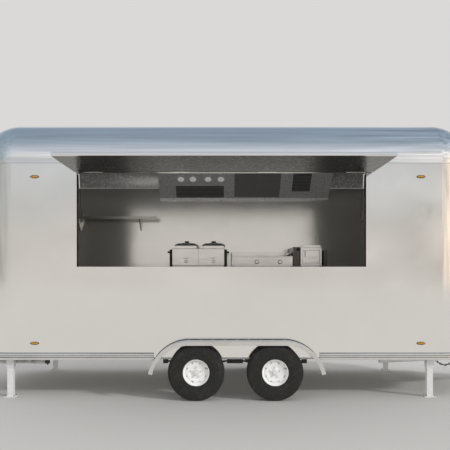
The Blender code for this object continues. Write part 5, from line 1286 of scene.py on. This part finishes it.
# Rear end and roof vent
def build_tail_lamps():
    for side in ("near", "far"):
        low, high = local_box(f"tail_lamp_{side}")
        wall = -HALF_LENGTH
        rim = 0.007
        frame = [
            box(wall - 0.010, wall + 0.001, low.y - rim, high.y + rim, low.z - rim, low.z + 0.002),
            box(wall - 0.010, wall + 0.001, low.y - rim, high.y + rim, high.z - 0.002, high.z + rim),
            box(wall - 0.010, wall + 0.001, low.y - rim, low.y + 0.002, low.z, high.z),
            box(wall - 0.010, wall + 0.001, high.y - 0.002, high.y + rim, low.z, high.z),
        ]
        add(f"tail_lamp_{side}_bezel", frame, BLACK, "trailer", bevel=0.0012)
        ribs = []
        for number in range(9):
            z = low.z + 0.024 + number * 0.0145
            ribs.append(bar((low.x, low.y + 0.018, z), (low.x, high.y - 0.018, z), 0.0014, 8))
        add(f"tail_lamp_{side}_ribs", ribs, RED, "trailer")
        signal = box(
            low.x - 0.0012, low.x + 0.004, low.y + 0.014, high.y - 0.014, high.z - 0.052, high.z - 0.016
        )
        add(f"tail_lamp_{side}_signal", signal, AMBER, "trailer", bevel=0.001)


def border(low_x, high_x, low_y, high_y, low_z, high_z, width):
    """Four strips round a field that faces along X."""
    inner_low = low_y + width
    inner_high = high_y - width
    return [
        box(low_x, high_x, low_y, inner_low, low_z, high_z),
        box(low_x, high_x, inner_high, high_y, low_z, high_z),
        box(low_x, high_x, inner_low, inner_high, low_z, low_z + width),
        box(low_x, high_x, inner_low, inner_high, high_z - width, high_z),
    ]


def build_door():
    face = -HALF_LENGTH
    low, high = DOOR_LOW, DOOR_HIGH
    left = low.y + 0.012
    right = -left
    bottom = low.z + 0.014
    top = high.z - 0.014
    trim = border(face - 0.0018, face + 0.001, left, right, bottom, top, 0.034)
    add("rear_door_trim", trim, SATIN, "door", bevel=0.0006)
    glass_low, glass_high = local_box("rear_door_glass")
    reach = 0.014
    seal = border(face - 0.0032, face + 0.001, glass_low.y - reach, glass_high.y + reach,
                  glass_low.z - reach, glass_high.z + reach, reach)
    add("rear_door_seal", seal, SEAL, "door", bevel=0.001)
    heads = []
    count = 13
    for number in range(count):
        z = bottom + 0.017 + (top - bottom - 0.034) * number / (count - 1)
        for y in (left + 0.017, right - 0.017):
            heads.append(bar((face - 0.0010, y, z), (face - 0.0034, y, z), 0.0042, 12, 0.0024))
    add("rear_door_rivets", heads, ZINC, "door")
    add("rear_door_kick_plate", box(
        face - 0.0016, face + 0.001, left + 0.046, right - 0.046, bottom + 0.046, 0.76
    ),
        PLATE, "door", bevel=0.0005)


def build_vent():
    low, high = local_box("roof_vent")
    x = (low.x + high.x) / 2
    y = (low.y + high.y) / 2
    radius = (high.x - low.x) / 2
    neck = radius * 0.72
    foot = low.z + 0.008
    crown = high.z - 0.036
    add("roof_vent_mesh", bar((x, y, foot), (x, y, crown), neck + 0.0016, 48), BLACK, "trailer")
    ribs = []
    for number in range(24):
        angle = math.tau * number / 24
        px = x + (neck + 0.002) * math.cos(angle)
        py = y + (neck + 0.002) * math.sin(angle)
        ribs.append(bar((px, py, foot - 0.001), (px, py, crown + 0.001), 0.0030, 8))
    add("roof_vent_ribs", ribs, ZINC, "trailer")
    heads = []
    for number in range(12):
        angle = math.tau * (number + 0.5) / 12
        px = x + radius * 0.86 * math.cos(angle)
        py = y + radius * 0.86 * math.sin(angle)
        heads.append(bar((px, py, foot - 0.001), (px, py, foot + 0.0022), 0.0045, 12, 0.003))
    add("roof_vent_screws", heads, ZINC, "trailer")


# The trailer
build_roof()
build_walls()
build_seams()
build_markers()
build_window_trim()
build_flap()
build_flap_tubes()
for wheel_name, wheel_side in (("rear_near", -1), ("rear_far", 1), ("front_near", -1), ("front_far", 1)):
    build_wheel(wheel_name, wheel_side)
build_fenders()
build_skirts()
build_fryer()
build_lids()
build_griddle()
build_warmer()
build_hood()
build_leg_details()
build_axle_clamps()
build_chain()
build_drawbar_details()
build_tail_lamps()
build_door()
build_vent()

# Finishes of the CAD pieces
for node in ("back_bench", "serving_counter", "wall_shelf"):
    dress(node, BENCH)
dress("drawbar_platform", PLATE, 0.001)
for node in ("chassis_frame", "drawbar_near", "drawbar_far", "coupler", "jack_housing", "jockey_post",
             "axle_rear", "axle_front", *LEGS, "rear_bumper"):
    dress(node, ZINC, 0.0015)
for node in ("rear_door", "strut_rod_rear", "strut_rod_front", "roof_vent"):
    dress(node, SHELL, 0.0015)
for node in ("strut_tube_rear", "strut_tube_front", "drain_valve"):
    dress(node, BLACK, 0.001)
for node in ("springs_near", "springs_far"):
    dress(node, IRON)
dress("jockey_wheel", TYRE)
dress("floor", PLATE)
dress("drain_pipe", PIPE, 0.0005)
for node in ("tail_lamp_near", "tail_lamp_far"):
    dress(node, RED)
dress("rear_door_glass", GLASS, 0.0005)


# Floor, light and camera
FLOOR_COLOUR = (0.585, 0.58, 0.57, 1.0)
FLOOR_GLOW_COLOUR = (0.76, 0.73, 0.69, 1.0)
FLOOR_GLOW_WEIGHT = 0.7
BACKDROP_COLOUR = (0.708, 0.694, 0.687)
PLAIN_LIGHT_COLOUR = (0.84, 0.835, 0.83)
SUN_STRENGTH = 1.5
SUN_ANGLE_DEG = 7
SUN_TOWARDS = (-1.75, 1.30, -1.0)


def build_stage():
    ground = bmesh.new()
    reach = 60.0
    corners = [(-reach, -reach, 0.0), (reach, -reach, 0.0), (reach, reach, 0.0), (-reach, reach, 0.0)]
    ground.faces.new([ground.verts.new(place) for place in corners])
    mesh = bpy.data.meshes.new("studio_floor")
    ground.to_mesh(mesh)
    ground.free()
    floor = bpy.data.objects.new("studio_floor", mesh)
    bpy.context.scene.collection.objects.link(floor)
    look = bpy.data.materials.new("studio_floor")
    look.use_nodes = True
    nodes = look.node_tree.nodes
    links = look.node_tree.links
    shader = nodes["Principled BSDF"]
    shader.inputs["Base Color"].default_value = FLOOR_COLOUR
    shader.inputs["Roughness"].default_value = 0.9
    shader.inputs["Specular IOR Level"].default_value = 0.1
    glow = nodes.new("ShaderNodeEmission")
    glow.inputs["Color"].default_value = FLOOR_GLOW_COLOUR
    blend = nodes.new("ShaderNodeMixShader")
    rays = nodes.new("ShaderNodeLightPath")
    weight = nodes.new("ShaderNodeMath")
    weight.operation = "MULTIPLY"
    weight.inputs[1].default_value = FLOOR_GLOW_WEIGHT
    links.new(rays.outputs["Is Glossy Ray"], weight.inputs[0])
    links.new(weight.outputs[0], blend.inputs["Fac"])
    links.new(shader.outputs[0], blend.inputs[1])
    links.new(glow.outputs[0], blend.inputs[2])
    links.new(blend.outputs[0], nodes["Material Output"].inputs["Surface"])
    mesh.materials.append(look)


class Sky:
    """Nodes of the world: a pale backdrop, a plain light and a sky that polished metal shows."""

    def __init__(self):
        world = bpy.data.worlds.new("studio")
        world.use_nodes = True
        bpy.context.scene.world = world
        self.nodes = world.node_tree.nodes
        self.links = world.node_tree.links
        self.place = self.nodes.new("ShaderNodeTexCoord").outputs["Generated"]
        split = self.nodes.new("ShaderNodeSeparateXYZ")
        self.links.new(self.place, split.inputs["Vector"])
        self.x, self.y, self.z = split.outputs

    def span(self, value, from_low, from_high, low, high):
        step = self.nodes.new("ShaderNodeMapRange")
        limits = {"From Min": from_low, "From Max": from_high, "To Min": low, "To Max": high}
        for name, number in limits.items():
            step.inputs[name].default_value = number
        self.links.new(value, step.inputs["Value"])
        return step.outputs["Result"]

    def times(self, first, second):
        step = self.nodes.new("ShaderNodeMath")
        step.operation = "MULTIPLY"
        self.links.new(first, step.inputs[0])
        self.links.new(second, step.inputs[1])
        return step.outputs[0]

    def scaled(self, colour, by):
        step = self.nodes.new("ShaderNodeVectorMath")
        step.operation = "SCALE"
        self.links.new(colour, step.inputs[0])
        self.links.new(by, step.inputs["Scale"])
        return step.outputs["Vector"]

    def mix(self, factor, first, second):
        step = self.nodes.new("ShaderNodeMix")
        step.data_type = "RGBA"
        self.links.new(factor, step.inputs["Factor"])
        for socket, colour in ((step.inputs[6], first), (step.inputs[7], second)):
            if isinstance(colour, tuple):
                socket.default_value = (*colour, 1.0)
            else:
                self.links.new(colour, socket)
        return step.outputs[2]

    def ramp(self, value, stops):
        step = self.nodes.new("ShaderNodeValToRGB")
        self.links.new(value, step.inputs["Fac"])
        elements = step.color_ramp.elements
        for number, (position, colour) in enumerate(stops):
            element = elements[number] if number < 2 else elements.new(position)
            element.position = position
            element.color = (*colour, 1.0)
        return step.outputs["Color"]

    def clouds(self, scale, stretch, low, high):
        step = self.nodes.new("ShaderNodeTexNoise")
        step.inputs["Scale"].default_value = scale
        step.inputs["Detail"].default_value = 6.0
        step.inputs["Roughness"].default_value = 0.62
        turn = self.nodes.new("ShaderNodeMapping")
        turn.inputs["Scale"].default_value = stretch
        self.links.new(self.place, turn.inputs["Vector"])
        self.links.new(turn.outputs["Vector"], step.inputs["Vector"])
        return self.span(step.outputs["Fac"], 0.36, 0.66, low, high)


def build_world():
    sky = Sky()
    colour = sky.ramp(sky.z, SKY_STOPS)
    back = sky.times(sky.span(sky.y, -0.45, 0.20, 0.0, 1.0), sky.span(sky.z, 0.35, 0.75, 0.0, 1.0))
    colour = sky.mix(back, colour, (0.27, 0.34, 0.43))
    right = sky.span(sky.x, 0.25, 0.95, 0.0, 1.0)
    left = sky.span(sky.x, -0.22, -0.72, 0.0, 1.0)
    low = sky.span(sky.z, 0.28, 0.60, 1.0, 0.0)
    colour = sky.mix(sky.times(right, low), colour, (1.42, 1.14, 0.86))
    colour = sky.mix(left, colour, sky.ramp(sky.z, LEFT_STOPS))
    colour = sky.scaled(colour, sky.clouds(5.0, (1.0, 1.0, 3.4), 0.86, 1.14))
    patches = sky.scaled(colour, sky.clouds(8.0, (1.0, 1.0, 2.2), 0.74, 1.42))
    colour = sky.mix(sky.span(sky.x, 0.16, 0.27, 0.0, 1.0), colour, patches)
    rays = sky.nodes.new("ShaderNodeLightPath")
    shown = sky.mix(rays.outputs["Is Glossy Ray"], PLAIN_LIGHT_COLOUR, colour)
    shown = sky.mix(rays.outputs["Is Camera Ray"], shown, BACKDROP_COLOUR)
    background = sky.nodes["Background"]
    background.inputs["Strength"].default_value = 1.0
    sky.links.new(shown, background.inputs["Color"])


LEFT_STOPS = [
    (0.0, (0.47, 0.47, 0.45)),
    (0.20, (0.46, 0.47, 0.46)),
    (0.45, (0.34, 0.42, 0.49)),
    (0.8, (0.27, 0.36, 0.44)),
]

SKY_STOPS = [
    (0.0, (0.71, 0.68, 0.64)),
    (0.05, (0.72, 0.68, 0.64)),
    (0.09, (0.61, 0.605, 0.59)),
    (0.14, (0.60, 0.61, 0.62)),
    (0.30, (0.64, 0.66, 0.69)),
    (0.50, (0.84, 0.84, 0.86)),
    (0.62, (0.70, 0.73, 0.78)),
    (0.74, (0.56, 0.61, 0.69)),
    (0.88, (0.40, 0.47, 0.56)),
    (1.0, (0.31, 0.38, 0.46)),
]


def build_sun():
    light = bpy.data.lights.new("studio_key", "SUN")
    light.energy = SUN_STRENGTH
    light.angle = math.radians(SUN_ANGLE_DEG)
    light.color = (1.0, 0.985, 0.96)
    lamp = bpy.data.objects.new("studio_key", light)
    bpy.context.scene.collection.objects.link(lamp)
    towards = Vector(SUN_TOWARDS)
    lamp.rotation_euler = towards.to_track_quat("-Z", "Y").to_euler()
    lamp.visible_glossy = False


def build_camera():
    camera = bpy.data.cameras.new("photo_camera")
    camera.sensor_width = SENSOR_MM
    camera.lens = SENSOR_MM * FOCAL_PIXELS / IMAGE_PIXELS
    camera.shift_x = (IMAGE_PIXELS / 2 - VANISHING_PIXEL[0]) / IMAGE_PIXELS
    camera.shift_y = (VANISHING_PIXEL[1] - IMAGE_PIXELS / 2) / IMAGE_PIXELS
    eye = bpy.data.objects.new("photo_camera", camera)
    eye.location = Vector((CAMERA_X, CAMERA_Y, CAMERA_Z)) + BODY
    eye.rotation_euler = (math.pi / 2, 0.0, 0.0)
    bpy.context.scene.collection.objects.link(eye)
    bpy.context.scene.camera = eye


build_stage()
build_world()
build_sun()
build_camera()
bpy.context.scene.view_settings.view_transform = "Standard"
